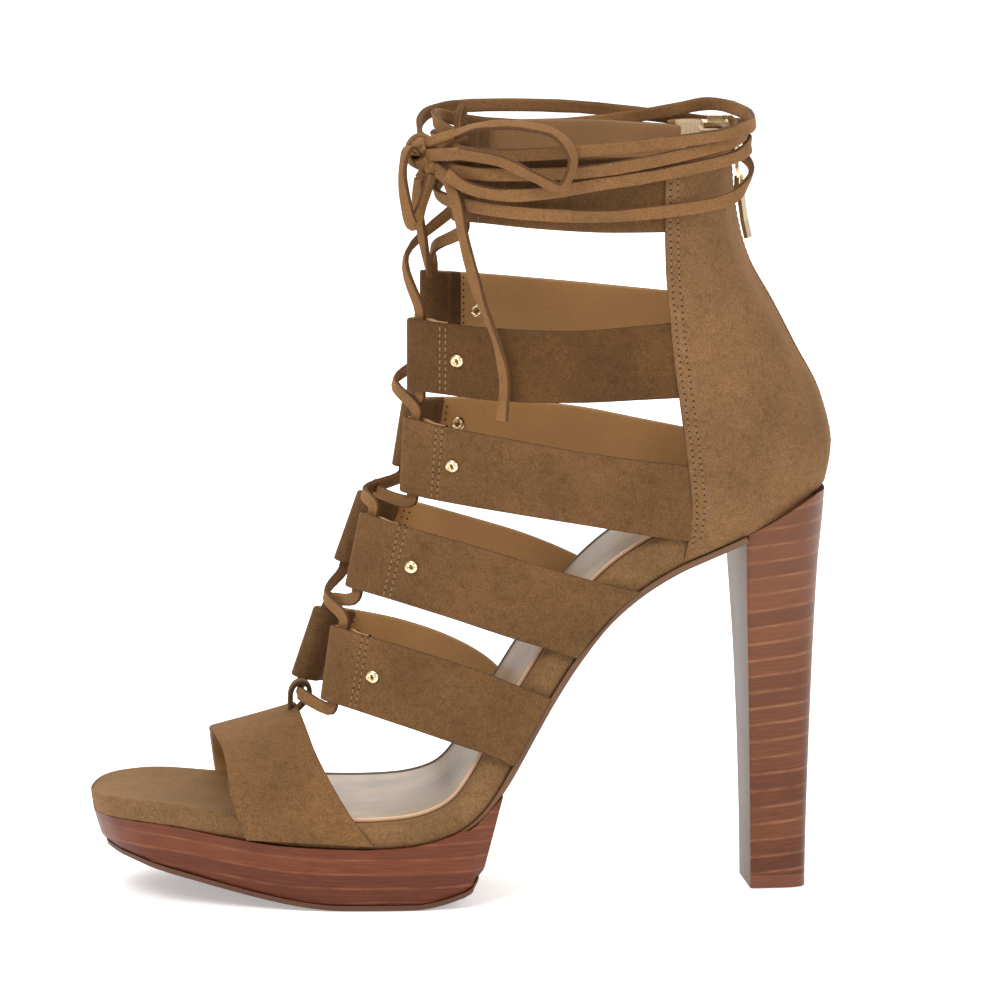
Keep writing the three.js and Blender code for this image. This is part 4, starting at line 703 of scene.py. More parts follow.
BOW_RIGHT = [(-14.2, -19.4, 227.2), (-6.0, -31.0, 231.2), (4.0, -38.4, 232.0), (13.8, -41.8, 229.6),
            (18.2, -43.2, 222.6), (14.6, -43.8, 214.8), (7.4, -43.4, 217.6), (-2.0, -39.8, 221.8),
            (-13.2, -26.8, 222.4)]
END_LONG = [(-16.6, -21.8, 214.0), (-14.6, -28.0, 207.6), (-11.8, -30.6, 194.0), (-8.2, -32.6, 181.0),
            (-3.4, -34.0, 168.0), (-1.0, -34.2, 156.0), (-1.8, -33.6, 144.6)]
END_SHORT = [(-24.4, -9.8, 212.6), (-24.8, -8.6, 205.0), (-23.4, -6.6, 196.0), (-21.2, -4.6, 183.0)]


def ankle_point(row):
    phi, z, lift = row
    a = math.radians(phi)
    n = ANKLE["nb"] if math.cos(a) > 0 else ANKLE["nf"]

    def rnd(v):
        return math.copysign(abs(v) ** (2 / n), v)
    return v3(ANKLE["x"] + (ANKLE["a"] + lift) * rnd(math.cos(a)),
              ANKLE["y"] - (ANKLE["b"] + lift) * rnd(math.sin(a)), z)


def ankle_normal(p):
    d = v3((p[0] - ANKLE["x"]) / ANKLE["a"] ** 2, (p[1] - ANKLE["y"]) / ANKLE["b"] ** 2, 0)
    return unit(d)


def cord(name, route, keys, per, node, wave=0.12, seed=1):
    line = centripetal(route, per)
    nors = smooth_normals(keys, per)
    ob = flat_lace(name, line, nors, wave=wave, seed=seed)
    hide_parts(node)
    return ob


def tie(name, start, rows, seed):
    lead = [tunnel(start, "top", r) for r in (3.1, 5.2)]
    route = [p for p, _ in lead] + [ankle_point(r) for r in rows]
    keys = [n for _, n in lead] + [ankle_normal(p) for p in route[2:]]
    return cord(name, route, keys, 7, name[:5], wave=0.26, seed=seed)


tie_a = tie("tie_a_lace", "collar_near", TIE_A, 3)
tie_b = tie("tie_b_lace", "collar_far", TIE_B, 5)
near = v3(-0.25, -1, 0.1)
bow_left = cord("bow_left_lace", BOW_LEFT, [v3(-.6, -.8, .4), v3(-.5, -.4, 1), v3(-1, -.3, .1), v3(-.9, -.5, 0),
                v3(-.2, -.9, -.6), v3(.8, -.6, -.1), v3(.7, -.7, .1)], 8, "bow_left", 0.15, 7)
bow_right = cord("bow_right_lace", BOW_RIGHT, [v3(-.5, -.5, .8), v3(-.3, -.5, .9), v3(.0, -.5, .9), v3(.6, -.5, .6),
                 v3(.9, -.5, 0), v3(.5, -.5, -.7), v3(-.1, -.8, -.6), v3(-.3, -.9, -.4), v3(-.4, -.9, -.2)],
                 8, "bow_right", 0.12, 11)
end_long = cord("end_long_lace", END_LONG, [v3(-.5, -1, .3), v3(-.7, -.9, .2), v3(-1, -.6, .1), v3(-1, -.45, 0),
                v3(-1, -.5, 0), v3(-.8, -.8, 0), v3(-.7, -.8, 0)], 9, "end_long", 0.2, 13)
end_short = cord("end_short_lace", END_SHORT, [v3(-.9, -.5, .2), v3(-.8, -.6, .1), v3(-.9, -.4, 0), v3(-1, .1, 0)],
                 9, "end_short", 0.2, 17)

# knot: a lace wrapped over itself, three turns and a cross band
knot = Pile()


def knot_strand(points, normals, width=3.7, thick=1.6):
    line = centripetal(points, 7)
    nors = smooth_normals([unit(n) for n in normals], 7)
    base, m = [], len(LACE_RING)
    for i in range(len(line)):
        t = unit(line[min(len(line) - 1, i + 1)] - line[max(0, i - 1)])
        nor = unit(nors[i] - t * float(np.dot(nors[i], t)))
        wid = np.cross(t, nor)
        base += [line[i] + wid * (a * width / 2) + nor * (b * thick / 2) for a, b in LACE_RING]
    faces = []
    for i in range(len(line) - 1):
        for j in range(m):
            k = (j + 1) % m
            faces.append((i * m + j, i * m + k, (i + 1) * m + k, (i + 1) * m + j))
    faces.append(tuple(range(m)))
    faces.append(tuple(range((len(line) - 1) * m, len(line) * m)))
    knot.add(base, faces)


kc = v3(KNOT["x"], KNOT["y"], KNOT["z"])


def around(radius, tilt, a0, a1, n, squeeze, shift=v3(0, 0, 0)):
    """Turn of lace round the knot: points and outward normals."""
    ax = unit(v3(*tilt))
    e1 = unit(np.cross(ax, v3(0, 0, 1)) if abs(ax[2]) < 0.9 else np.cross(ax, v3(1, 0, 0)))
    e2 = np.cross(ax, e1)
    pts, nor = [], []
    for i in range(n + 1):
        a = math.radians(lerp(a0, a1, i / n))
        d = e1 * math.cos(a) + e2 * math.sin(a)
        pts.append(kc + shift + d * radius * v3(*squeeze) + ax * 0.6 * (i / n - 0.5))
        nor.append(d)
    return pts, nor


for spec in [
    (4.2, (0.75, 0.55, 0.30), 0, 350, 10, (0.86, 1.15, 1.05), v3(0.6, 0.6, 0)),
    (4.6, (0.45, 0.85, -0.35), 20, 330, 10, (0.86, 1.1, 1.0), v3(-0.4, -1.2, 0.6)),
    (4.4, (0.9, -0.2, 0.45), 0, 340, 10, (0.9, 1.1, 1.05), v3(0.2, -2.2, -0.6)),
    (3.0, (0.2, 0.5, 0.85), 0, 350, 10, (0.95, 1.3, 1.0), v3(0, -0.4, 0.2)),
]:
    knot_strand(*around(*spec))
# strands that run from the knot to the bow's loops, the ends and the ties
knot_strand([kc + v3(-1, -3, 2), kc + v3(-2.6, -5, 2.4), v3(-25.0, -18.4, 222.4)], [v3(-1, -.5, .8), v3(-.8, -.6, .8), v3(-.6, -.8, .4)])
knot_strand([kc + v3(1, -3, 3), kc + v3(3.6, -5.6, 4.6), v3(-14.2, -19.4, 227.2)], [v3(-.6, -.6, .8), v3(-.5, -.6, .8), v3(-.5, -.5, .8)])
knot_strand([kc + v3(0, -4, -1), kc + v3(2.6, -6.5, -3.2), v3(-16.6, -21.8, 214.0)], [v3(-.6, -1, .2), v3(-.5, -1, .3), v3(-.5, -1, .3)])
knot_strand([kc + v3(0, -5, 0), v3(-16.8, -22.4, 221.6), v3(-13.2, -26.8, 222.4)], [v3(-.5, -1, .2), v3(-.4, -1, 0), v3(-.4, -.9, -.2)])
knot_strand([kc + v3(-1.2, -5, -1), v3(-21.8, -18.8, 217.6), v3(-21.4, -20.2, 215.4)], [v3(-.6, -1, .1), v3(0, -1, .1), v3(.7, -.7, .1)])
knot_strand([kc + v3(-1, 0, -3), v3(-23.4, -10.4, 214.6), v3(-24.4, -9.8, 212.6)], [v3(-1, -.4, .2), v3(-.9, -.5, .2), v3(-.9, -.5, .2)])
knot_strand([v3(-23.6, -1.6, 224.0), v3(-23.4, -5.6, 222.4), v3(-22.8, -9.6, 220.8)], [v3(-1, 0, .3), v3(-1, -.2, .3), v3(-.9, -.5, .2)])
knot_ob = knot.build("knot_lace", [LACE], sharp=55)
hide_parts("knot")

# ------------------------------------------------------- the lace's held part
LOOP_X, LOOP_Y, LOOP_Z = -59.2, 0.2, 55.4
LACING = [["strap_4_near", "strap_3_far", "s2_near", "s1_far", "collar_near"],
          ["strap_4_far", "strap_3_near", "s2_far", "s1_near", "collar_far"]]
STAND = {-1: [10.0, 6.5, 17.0, 7.0], 1: [7.0, 15.0, 6.5, 21.0]}


def lace_half(names, side):
    pts, nor = [v3(LOOP_X, LOOP_Y, LOOP_Z + 3.0)], [v3(-1, 0, 0)]
    pts.append(v3(LOOP_X + 0.2, LOOP_Y + side * 5.0, LOOP_Z + 3.2))
    nor.append(v3(-1, 0, 0.2))
    for k, name in enumerate(names):
        (lo, nl), (hi, nh) = tunnel(name, "bot", 0), tunnel(name, "top", 0)
        pts += [tunnel(name, "bot", 2.2)[0], lerp(lo, hi, 0.06), lerp(lo, hi, 0.5), lerp(lo, hi, 0.94), tunnel(name, "top", 2.2)[0]]
        nor += [nl, nl, unit(nl + nh), nh, nh]
        if k < len(names) - 1:
            mid = lerp(tunnel(name, "top", 2.2)[0], tunnel(names[k + 1], "bot", 2.2)[0], 0.5)
            mid[0] -= STAND[side][k] * 0.5 + (0.35 if side < 0 else -0.35)
            pts.append(mid)
            nor.append(unit(v3(-1, 0, 0.15)))
    return pts, nor


for i, names in enumerate(LACING):
    pts, nor = lace_half(names, -1 if i == 0 else 1)
    flat_lace("lace_half_" + ("a", "b")[i], centripetal(pts, 6), smooth_normals(nor, 6), 3.7, 1.5, 0.05, 20 + i)
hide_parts("lace_front")

# ------------------------------------------------------------- strap bodies
EDGE_STEPS = [(0.0, 0.9), (0.10, 0.45), (0.34, 0.12), (0.7, 0.0)]   # mm from the edge, depth


def band_section(w, inner=10):
    """(across in mm, depth) round a band of that width; outer face first."""
    outer = [(s, d) for s, d in EDGE_STEPS] + [(0.7 + (w - 1.4) * i / inner, 0.0) for i in range(1, inner)]
    outer += [(w - s, d) for s, d in reversed(EDGE_STEPS)]
    inn = [(w - s, WALL - d) for s, d in EDGE_STEPS[1:]] + [(w - 0.7 - (w - 1.4) * i / inner, WALL) for i in range(1, inner)]
    inn += [(s, WALL - d) for s, d in reversed(EDGE_STEPS[1:])]
    return outer, inn


# Folds and dents: place along (row), across 0..1, direction of the
# line (row, across), half width in rows, height in mm (minus: trough).
CREASES = {
    "s1_near": [(1.9, 0.5, 0.25, 1.0, 0.30, -0.45), (4.35, 0.9, 0.6, -0.9, 0.28, 0.55), (3.3, 0.2, 0.9, 0.35, 0.35, -0.35), (2.7, 0.7, 0.5, 0.8, 0.5, 0.35)],
    "s2_near": [(2.2, 0.5, 0.2, 1.0, 0.35, -0.40), (4.2, 0.6, 0.5, -0.8, 0.32, 0.45), (3.3, 0.8, 0.8, 0.3, 0.4, -0.30)],
    "s1_far": [(2.1, 0.5, 0.2, 1.0, 0.35, -0.35), (3.6, 0.4, 0.5, 0.8, 0.4, 0.35)],
    "s2_far": [(1.9, 0.6, -0.2, 1.0, 0.35, -0.35), (3.4, 0.5, 0.5, 0.8, 0.4, 0.35)],
    "strap_3_near": [(2.3, 0.5, 0.2, 1.0, 0.35, -0.40), (3.7, 0.4, 0.4, 0.9, 0.35, 0.45), (3.0, 0.8, 0.8, 0.2, 0.3, -0.30)],
    "strap_3_far": [(2.0, 0.5, 0.2, 1.0, 0.35, 0.35)],
    "strap_4_near": [(2.2, 0.5, 0.2, 1.0, 0.35, -0.40), (3.6, 0.5, 0.5, 0.8, 0.4, 0.40)],
    "strap_4_far": [(2.0, 0.5, 0.2, 1.0, 0.35, 0.35)],
    "collar_near": [(2.2, 0.5, 0.2, 1.0, 0.4, -0.3)],
    "collar_far": [(2.4, 0.5, 0.2, 1.0, 0.4, -0.4), (3.6, 0.5, -0.2, 1.0, 0.4, 0.3)],
}


def crease(name, u, s):
    h = 0.0
    for cu, cs, du, ds, half, high in CREASES.get(name, []):
        ln = math.hypot(du, ds)
        off = ((u - cu) * ds - (s - cs) * du) / ln
        run = ((u - cu) * du + (s - cs) * ds) / ln
        h += high * math.exp(-(off / half) ** 2) * math.exp(-(run / 0.8) ** 2)
    tab = STRAPS[name]
    fade = min(1.0, max(0.0, (u - 1.45) / 0.4)) * min(1.0, max(0.0, (tab.last - u) / 0.5))
    return h * fade


def strap_body(name, fold_per=4, per=9):
    tab = STRAPS[name]
    rings, sides = [], None
    f0 = strap_frame(tab, 0)
    w0 = float(np.linalg.norm(f0["top"] - f0["bot"]))
    outer, inn = band_section(w0)
    sec = outer + inn
    sides = []
    for j in range(len(sec)):
        a, b = sec[j], sec[(j + 1) % len(sec)]
        d = (a[1] + b[1]) / 2
        sides.append(2 if abs(d - WALL / 2) < 0.5 else (0 if d < WALL / 2 else 1))
    us = [FOLD.last - i / fold_per for i in range((FOLD.last - 1) * fold_per)]
    for k in us:
        q = FOLD.at(k)
        e = 0.03
        q1, q2 = FOLD.at(max(0, k - e)), FOLD.at(min(FOLD.last, k + e))
        df, di = q2["f"] - q1["f"], q2["i"] - q1["i"]
        d = math.hypot(df, di)
        of, oi = di / d, -df / d
        ring = []
        for across, depth in sec:
            s = across / w0
            p = f0["bot"] + (f0["top"] - f0["bot"]) * s
            al = f0["ab"] + (f0["at"] - f0["ab"]) * s
            nn = f0["nb"] + (f0["nt"] - f0["nb"]) * s
            h = WALL / 2 - depth
            ring.append(p - nn * (WALL / 2) - al * (q["f"] + of * h) - nn * (q["i"] + oi * h))
        rings.append(ring)
    for u in spaced(0, tab.last, tab.last * per):
        f = strap_frame(tab, u)
        w = float(np.linalg.norm(f["top"] - f["bot"]))
        outer, inn = band_section(w)
        ring = []
        for across, depth in outer + inn:
            s = across / w
            ring.append(strap_point(f, s, depth - crease(name, u, s)))
        rings.append(ring)
    if name.startswith("strap_") or name.startswith("s2"):
        rings = [keep_above_seat(r) if max(p[0] for p in r) > -14 else r for r in rings]
    # the collar straps' insides take the darker lining copy, painted shade
    mats = [SUEDE_TOP if name.startswith("s1") else SUEDE, LINING_PAINTED_SHADE if name.startswith("collar") else LINING, EDGE]
    return loft("upper_" + name, rings, mats, side=sides, sharp=55)


straps = {n: strap_body(n) for n in STRAPS}
for n in ("strap_3_near", "strap_3_far", "strap_4_near", "strap_4_far"):
    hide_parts(n)


# ------------------------------------------------------------------ the counter
COUNTER_FOLDS = [  # a, v, direction, half width, height mm: soft dents of the counter
    (0.20, 5.6, 0.05, 1.0, 0.05, -0.55), (0.34, 3.4, 0.10, 1.0, 0.05, -0.45), (0.12, 2.6, 0.03, 1.0, 0.045, 0.45),
    (0.28, 7.6, 0.03, 1.0, 0.045, 0.40), (0.40, 6.2, -0.04, 1.0, 0.045, -0.50),
    (0.80, 5.4, 0.05, 1.0, 0.05, -0.5), (0.68, 3.2, -0.06, 1.0, 0.05, 0.4), (0.62, 7.2, 0.04, 1.0, 0.05, -0.45),
]


def counter_dent(a, v):
    h = 0.0
    for ca, cv, da, dv, half, high in COUNTER_FOLDS:
        off = (a - ca) - (v - cv) * da / max(0.2, dv) * 0.3
        h += high * math.exp(-(off / half) ** 2) * math.exp(-((v - cv) / 1.5) ** 2)
    return h


def slit_a(v):
    """Position round the back where the zip's slit begins, for row v."""
    r = COUNTER.at(v)
    half = 0.05 if v < ZIP_FOOT - 0.12 else ZIP_HALF * min(1.0, (v - ZIP_FOOT + 0.12) / 0.35)
    half = max(0.05, half)
    return 0.5 - math.asin(min(1.0, (half / r["w"]) ** (r["n"] / 2))) / math.pi


def counter_low(a):
    """First row where the wall stands clear of the seat line."""
    lo, hi = 0.0, 4.0
    for _ in range(26):
        m = (lo + hi) / 2
        p, _n = counter_grid(a, m)
        d2 = (SEAT_XZ[:, 0] - p[0]) ** 2 + (SEAT_XZ[:, 1] - p[2]) ** 2
        k = int(np.argmin(d2))
        h = (p[0] - SEAT_XZ[k, 0]) * SEAT_N[k, 0] + (p[2] - SEAT_XZ[k, 1]) * SEAT_N[k, 1]
        if h < 0.12:
            lo = m
        else:
            hi = m
    return hi


LOWS = {i: counter_low(0.004 + 0.992 * i / 60) for i in range(61)}


def low_at(a):
    t = (a - 0.004) / 0.992 * 60
    i = min(59, max(0, int(t)))
    return lerp(LOWS[i], LOWS[i + 1], t - i)


def counter_half(name, far):
    na, nv = 46, 88
    top = COUNTER.last
    depth = [0.9, 0.45, 0.12, 0.0]
    ins = [0.0, 0.10, 0.34, 0.7]

    def point(s, t, d):
        """s: 0 front edge .. 1 slit; t: 0 bottom .. 1 top; d: depth."""
        v = t * top
        for _ in range(3):
            a0 = slit_a(v)
            a = 0.004 + (a0 - 0.004) * s
            av = 1 - a if far else a
            v = lerp(low_at(av), top, t)
        a0 = slit_a(v)
        a = 0.004 + (a0 - 0.004) * s
        av = 1 - a if far else a
        p, n = counter_grid(av, v)
        edge = min(1.0, (1 - s) * 14, s * 14, (1 - t) * 18, t * 10)
        return p + n * (counter_dent(av, v) * max(0.0, edge) - d)
    # arc positions with rounded edge stations at both ends; the front edge is 30 mm from the slit or more
    span = 58.0
    high = 108.0
    ss = [(x / span, d) for x, d in zip(ins, depth)] + [(lerp(0.7 / span, 1 - 0.7 / span, (i / na) ** 0.92), 0.0) for i in range(1, na)]
    ss += [(1 - x / span, d) for x, d in zip(reversed(ins), reversed(depth))]
    ts = [(x / high, d) for x, d in zip(ins, depth)] + [(lerp(0.7 / high, 1 - 0.7 / high, i / nv), 0.0) for i in range(1, nv)]
    ts += [(1 - x / high, d) for x, d in zip(reversed(ins), reversed(depth))]
    verts, ids = [], {}
    for side in (0, 1):
        for i, (s, ds) in enumerate(ss):
            for j, (t, dt) in enumerate(ts):
                d = max(ds, dt)
                if d >= 0.9 - 1e-6 and side == 1:
                    ids[(side, i, j)] = ids[(0, i, j)]
                    continue
                ids[(side, i, j)] = len(verts)
                verts.append(point(s, t, d if side == 0 else WALL - d))
    faces, idx = [], []
    for side in (0, 1):
        for i in range(len(ss) - 1):
            for j in range(len(ts) - 1):
                f = [ids[(side, i, j)], ids[(side, i + 1, j)], ids[(side, i + 1, j + 1)], ids[(side, i, j + 1)]]
                if len(set(f)) < 3:
                    continue
                f = list(dict.fromkeys(f))
                border = i in (0, len(ss) - 2) or j in (0, len(ts) - 2)
                faces.append(tuple(f))
                idx.append(2 if border else side)
    # the counter's inside takes the darker lining copy, painted shade
    return make(name, verts, faces, [SUEDE_BACK, LINING_PAINTED_SHADE, EDGE], idx, None, 55)


counter_near = counter_half("upper_counter_near", False)
counter_far = counter_half("upper_counter_far", True)
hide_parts("upper_back")


# ----------------------------------------------------------------- toe strap
TOE_FOLDS = [(3.0, 0.55, 0.3, 1.0, 0.5, -0.45), (6.8, 0.5, -0.2, 1.0, 0.6, 0.4), (1.5, 0.6, 0.5, 0.8, 0.45, 0.4), (4.6, 0.3, 1.0, 0.2, 0.3, -0.3)]


def toe_frame(u):
    e, n = 0.02, TOE.last

    def at(w):
        r = TOE.at(min(n, max(0, w)))
        return v3(r["xf"], r["yf"], r["zf"]), v3(r["xb"], r["yb"], r["zb"])
    f, b = at(u)
    (f1, b1), (f2, b2) = at(u - e), at(u + e)
    nf, nb = unit(np.cross(b - f, f2 - f1)), unit(np.cross(b - f, b2 - b1))
    return f, b, nf, nb


f, b, nf, nb = toe_frame(5.0)
OUT = 1.0 if nf[2] > 0 else -1.0
toe_rings, toe_sides = [], []
for u in spaced(0, TOE.last, TOE.last * 9):
    f, b, nf, nb = toe_frame(u)
    w = float(np.linalg.norm(b - f))
    outer, inn = band_section(w, 14)
    ring = []
    for across, depth in outer + inn:
        s = across / w
        h = 0.0
        for cu, cs, du, ds, half, high in TOE_FOLDS:
            ln = math.hypot(du, ds)
            off = ((u - cu) * ds - (s - cs) * du) / ln
            run = ((u - cu) * du + (s - cs) * ds) / ln
            h += high * math.exp(-(off / half) ** 2) * math.exp(-(run / 1.2) ** 2)
        ring.append(lerp(f, b, s) - lerp(nf, nb, s) * OUT * (depth - h))
    toe_rings.append(ring)
    if not toe_sides:
        sec = outer + inn
        for j in range(len(sec)):
            d = (sec[j][1] + sec[(j + 1) % len(sec)][1]) / 2
            toe_sides.append(2 if abs(d - WALL / 2) < 0.5 else (0 if d < WALL / 2 else 1))
toe_rings = [keep_above_seat(r, 0.05, 8.0) for r in toe_rings]
toe = loft("upper_toe_strap", toe_rings, [SUEDE_TOE, LINING, EDGE], side=toe_sides, sharp=55)
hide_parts("toe_strap")

LOOP = Table("b h", [(-3.2, -3.4), (-2.9, 0.2), (-2.7, 3.4), (-1.4, 5.6), (0.6, 6.2), (2.4, 5.0), (2.7, 2.6), (1.4, 0.4), (-0.8, -1.9)])
loop_rings = []
for u in spaced(0, LOOP.last, LOOP.last * 6):
    q, q1, q2 = LOOP.at(u), LOOP.at(max(0, u - 0.03)), LOOP.at(min(LOOP.last, u + 0.03))
    d = math.hypot(q2["b"] - q1["b"], q2["h"] - q1["h"])
    nb, nh = -(q2["h"] - q1["h"]) / d, (q2["b"] - q1["b"]) / d
    loop_rings.append([v3(LOOP_X + q["b"] + nb * t * 0.7, LOOP_Y + a * 2.6, LOOP_Z + q["h"] + nh * t * 0.7) for a, t in LACE_RING])
loop_ob = loft("upper_toe_loop", loop_rings, [SUEDE, EDGE], side=LACE_SIDE, sharp=55)


# --------------------------------------------------------- footbed and soles
def layer_ring(u, section):
    s = seat(u)
    return [v3(s["x"] + s["nx"] * h, s["c"] + y, s["z"] + s["nz"] * h) for y, h in section(s)]


def rand_section(s):
    """Wrapped board: flat sole side, rounded upper edge, barely raised rim."""
    w, t = s["w"], s["t"]
    r = min(2.4, w * 0.5)
    pts = [(-w + 0.5, 0.0), (-w + 0.1, 0.35), (-w, 1.0), (-w, t * 0.35), (-w - 0.05, t - r)]
    for i in range(1, 7):
        a = math.radians(15 * i)
        pts.append((-w + r - r * math.cos(a), t - r + r * math.sin(a)))
    inner = [(-w + r + 1.2, t - 0.05), (-w * 0.72, t - 0.25), (-w * 0.45, t - 0.4), (-w * 0.2, t - 0.45), (0, t - 0.45)]
    pts += inner if w > 8 else [(-w * 0.3, t), (0, t)]
    mirror = [(-y, h) for y, h in reversed(pts[:-1])]
    return pts + mirror


us = [0.0, 0.12, 0.3, 0.6] + spaced(1, SOLE.last, (SOLE.last - 1) * 6)
ring_len = max(len(layer_ring(u, rand_section)) for u in us)
rings = [layer_ring(u, rand_section) for u in us if len(layer_ring(u, rand_section)) == ring_len]
first = rings[0]
mid = np.mean(first, axis=0)
nose = [np.array([p[0] - 0.7, mid[1] + (p[1] - mid[1]) * 0.55, mid[2] + (p[2] - mid[2]) * 0.6]) for p in first]
rings = [nose] + rings
footbed = loft("footbed_wrap", rings, [SUEDE_RAND], sharp=60)
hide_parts("footbed")


def sock_section(s):
    w, lo, hi = s["w"] - 5.4, s["t"] + 0.05, s["t"] + GAP + INSOLE_T
    pts = [(-w + 0.2, lo), (-w, lo + 0.3), (-w, hi - 0.25), (-w + 0.2, hi - 0.05), (-w + 0.6, hi), (-w + 1.6, hi), (-w * 0.7, hi - 0.1), (-w * 0.35, hi - 0.2), (0, hi - 0.25)]
    far = [(w * 0.35, hi - 0.2), (w * 0.7, hi - 0.1), (w - 1.5, hi), (w - 1.25, hi + 0.4), (w - 0.6, hi + 0.5), (w, hi + 0.2), (w, lo + 0.3), (w - 0.2, lo)]
    return pts + far    # the far edge is bound, and stands a little higher


us = spaced(5.5, SOLE.last - 1, 6 * 19)
rings = [layer_ring(u, sock_section) for u in us]
sides = [1, 1, 1, 0, 0, 0, 0, 0, 0, 0, 0, 2, 2, 2, 2, 2, 1]
sock = loft("insole_sock", rings, [SOCK, SOCK_EDGE, SOCK_FAR], side=sides, sharp=50)
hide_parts("insole")


def shank_section(s):
    w = s["w"] + 0.9
    t = lerp(0.6, SOLE_T, min(1.0, max(0.0, (s["x"] + 14.0) / 14.0)))
    lo, hi = -GAP - t, -0.06
    pts = [(-w + 0.9, lo), (-w + 0.35, lo + 0.1), (-w, lo + t * 0.35), (-w - 0.4, hi - t * 0.3), (-w - 0.45, hi - t * 0.12), (-w - 0.3, hi)]
    return pts + [(-y, h) for y, h in reversed(pts)]


us = spaced(SOLE.find("x", -14.0), SOLE.find("x", 69.5), 70)
rings = [layer_ring(u, shank_section) for u in us]
last_seat = seat(us[-1])
for k in (1, 2, 3):    # the end is turned with the heel
    for q in rings[-k]:
        d = -(q[1] - last_seat["c"]) * 0.05 * (4 - k) / 3
        q[0] += d
        q[2] -= d * last_seat["nx"] / last_seat["nz"]
shank = loft("shank_sole_thin", rings, [SHANK_EDGE, SHANK_FACE], side=[0] * 11 + [1], sharp=50)
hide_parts("shank_sole")


# platform and its outsole: one ring shape, cut at heights from the tables
def low_face(x):
    z = max(0.0, PLATFORM.by_x("zb", min(-8.6, max(-116.6, x))))
    return z + ((x + 8.6) * 0.55 if x > -8.6 else 0) + ((-116.6 - x) * 0.5 if x < -116.6 else 0)


def platform_ring(x, zb, zt, extra, nz, rb=0.9, even=False):
    c, w, inset = SOLE.by_x("c", x), SOLE.by_x("w", x), PLATFORM.by_x("inset", x)
    ledge = 1.3 * min(1.0, max(0.0, (x + 100) / 18))
    wb = max(0.8, w + 0.2 + extra - inset * 0.85)
    wt = wb + 0.3 if even else max(0.8, w + 0.2 + ledge + extra)

    def fx(z):
        xx = x
        if x > BACK_X - 9:
            xx = x - max(0, BACK_Z - z) * BACK_LEAN * (x - BACK_X + 9) / 9
        if x < -104:
            xx += max(0, 24 - z) * 0.3 * min(1, (-104 - x) / 12)
        return xx
    half = [(wb - rb, zb), (wb - rb * 0.3, zb + 0.12), (wb, zb + 0.6)]
    for i in range(1, nz + 1):
        t = i / nz
        z = lerp(zb + 0.6, zt, t)
        half.append((lerp(wb + (0.15 if even else 0.4), wt, t), z))
    left = [(v3(fx(z), c - y, z), z) for y, z in half]
    right = [(v3(fx(z), c + y, z), z) for y, z in reversed(half)]
    pts = [p for p, _ in left + right]
    top = SOLE.by_x("z", x) if x < -38 else 19.0
    uv = [(x, top - z) for _, z in left + right]
    return pts, uv


xs = [-120.2, -119.8, -119.2, -118.4, -117.2, -115.6, -113.6] + spaced(-111.5, -13, 62) + [-12, -11, -10, -9, -8, -7, -6, -5, -4.2, -3.4, -2.8, -2.2, -1.6]
rings, uvs = [], []
for x in xs:
    zb = low_face(x) + OUTSOLE_T + 0.08
    zt = SOLE.by_x("z", x) - 0.08
    if x > -14.0:    # the shank's sole runs in over the platform
        u = SOLE.find("x", x)
        zt -= (GAP + lerp(0.6, SOLE_T, min(1.0, (x + 14.0) / 14.0))) / seat(u)["nz"] * min(1.0, (x + 14.0) / 2.0)
    p, q = platform_ring(x, zb, max(zb + 0.7, zt), 0.0, 8, 0.5)
    rings.append(p)
    uvs.append(q)
platform = loft("platform_stack", rings, [STACK_PLATFORM], uv=uvs, sharp=50)
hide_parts("platform")
rings = []
for x in [q for q in xs if -119.3 < q < -4.9]:
    p, q = platform_ring(x, low_face(x), low_face(x) + OUTSOLE_T, 0.3, 2, 0.4, True)
    rings.append(p)
outsole = loft("outsole_layer", rings, [DARK], sharp=50)
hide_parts("outsole_front")


# heel
def heel_ring(z, n=40):
    r = HEEL.at(HEEL.find("z", z))

    def yc(x):
        return AXIS_Y0 + (x - AXIS_X0) * AXIS_SLOPE
    xf, xb, w = r["xf"], r["xb"], r["w"]
    pts = [v3(xf, yc(xf) - w + 1.0, z), v3(xf + 0.15, yc(xf) - w + 0.45, z), v3(xf + 0.45, yc(xf) - w + 0.12, z), v3(xf + 0.9, yc(xf) - w, z)]
    ln = xb - xf - 0.9
    for i in range(1, n):
        a = i / n * math.pi
        cs, sn = math.cos(a), math.sin(a)
        x = xf + 0.9 + ln * sn ** (2 / r["n"])
        y = -math.copysign(1, cs) * w * abs(cs) ** (2 / r["n"])
        pts.append(v3(x, yc(x) + y, z))
    pts += [v3(xf + 0.9, yc(xf) + w, z), v3(xf + 0.45, yc(xf) + w - 0.12, z), v3(xf + 0.15, yc(xf) + w - 0.45, z), v3(xf, yc(xf) + w - 1.0, z)]
    for p in pts:    # the heel is turned with the counter's axis
        p[0] -= (p[1] - yc(p[0])) * 0.05
    return pts


def heel_body(name, z0, z1, count, mats, cut):
    rings, uvs = [], []
    for i in range(count + 1):
        z = lerp(z0, z1, i / count)
        ring = heel_ring(z)
        if cut:
            for p in ring:    # the top follows the seat line
                top = SOLE.by_x("z", min(93.0, p[0])) - 0.12
                p[2] = z0 + (top - z0) * (z - z0) / (z1 - z0)
        along, uv = 0.0, []
        for k, p in enumerate(ring):
            if k:
                along += float(np.linalg.norm(p - ring[k - 1]))
            uv.append((along, p[2] - (p[0] - 82.0) * 0.085))
        rings.append(ring)
        uvs.append(uv)
    n = len(rings[0])
    # the front face takes the second material, the breast's painted reflection
    side = [0] * (n - 1) + [1]
    return loft(name, rings, mats, side=side if len(mats) > 1 else None, uv=uvs, sharp=50)


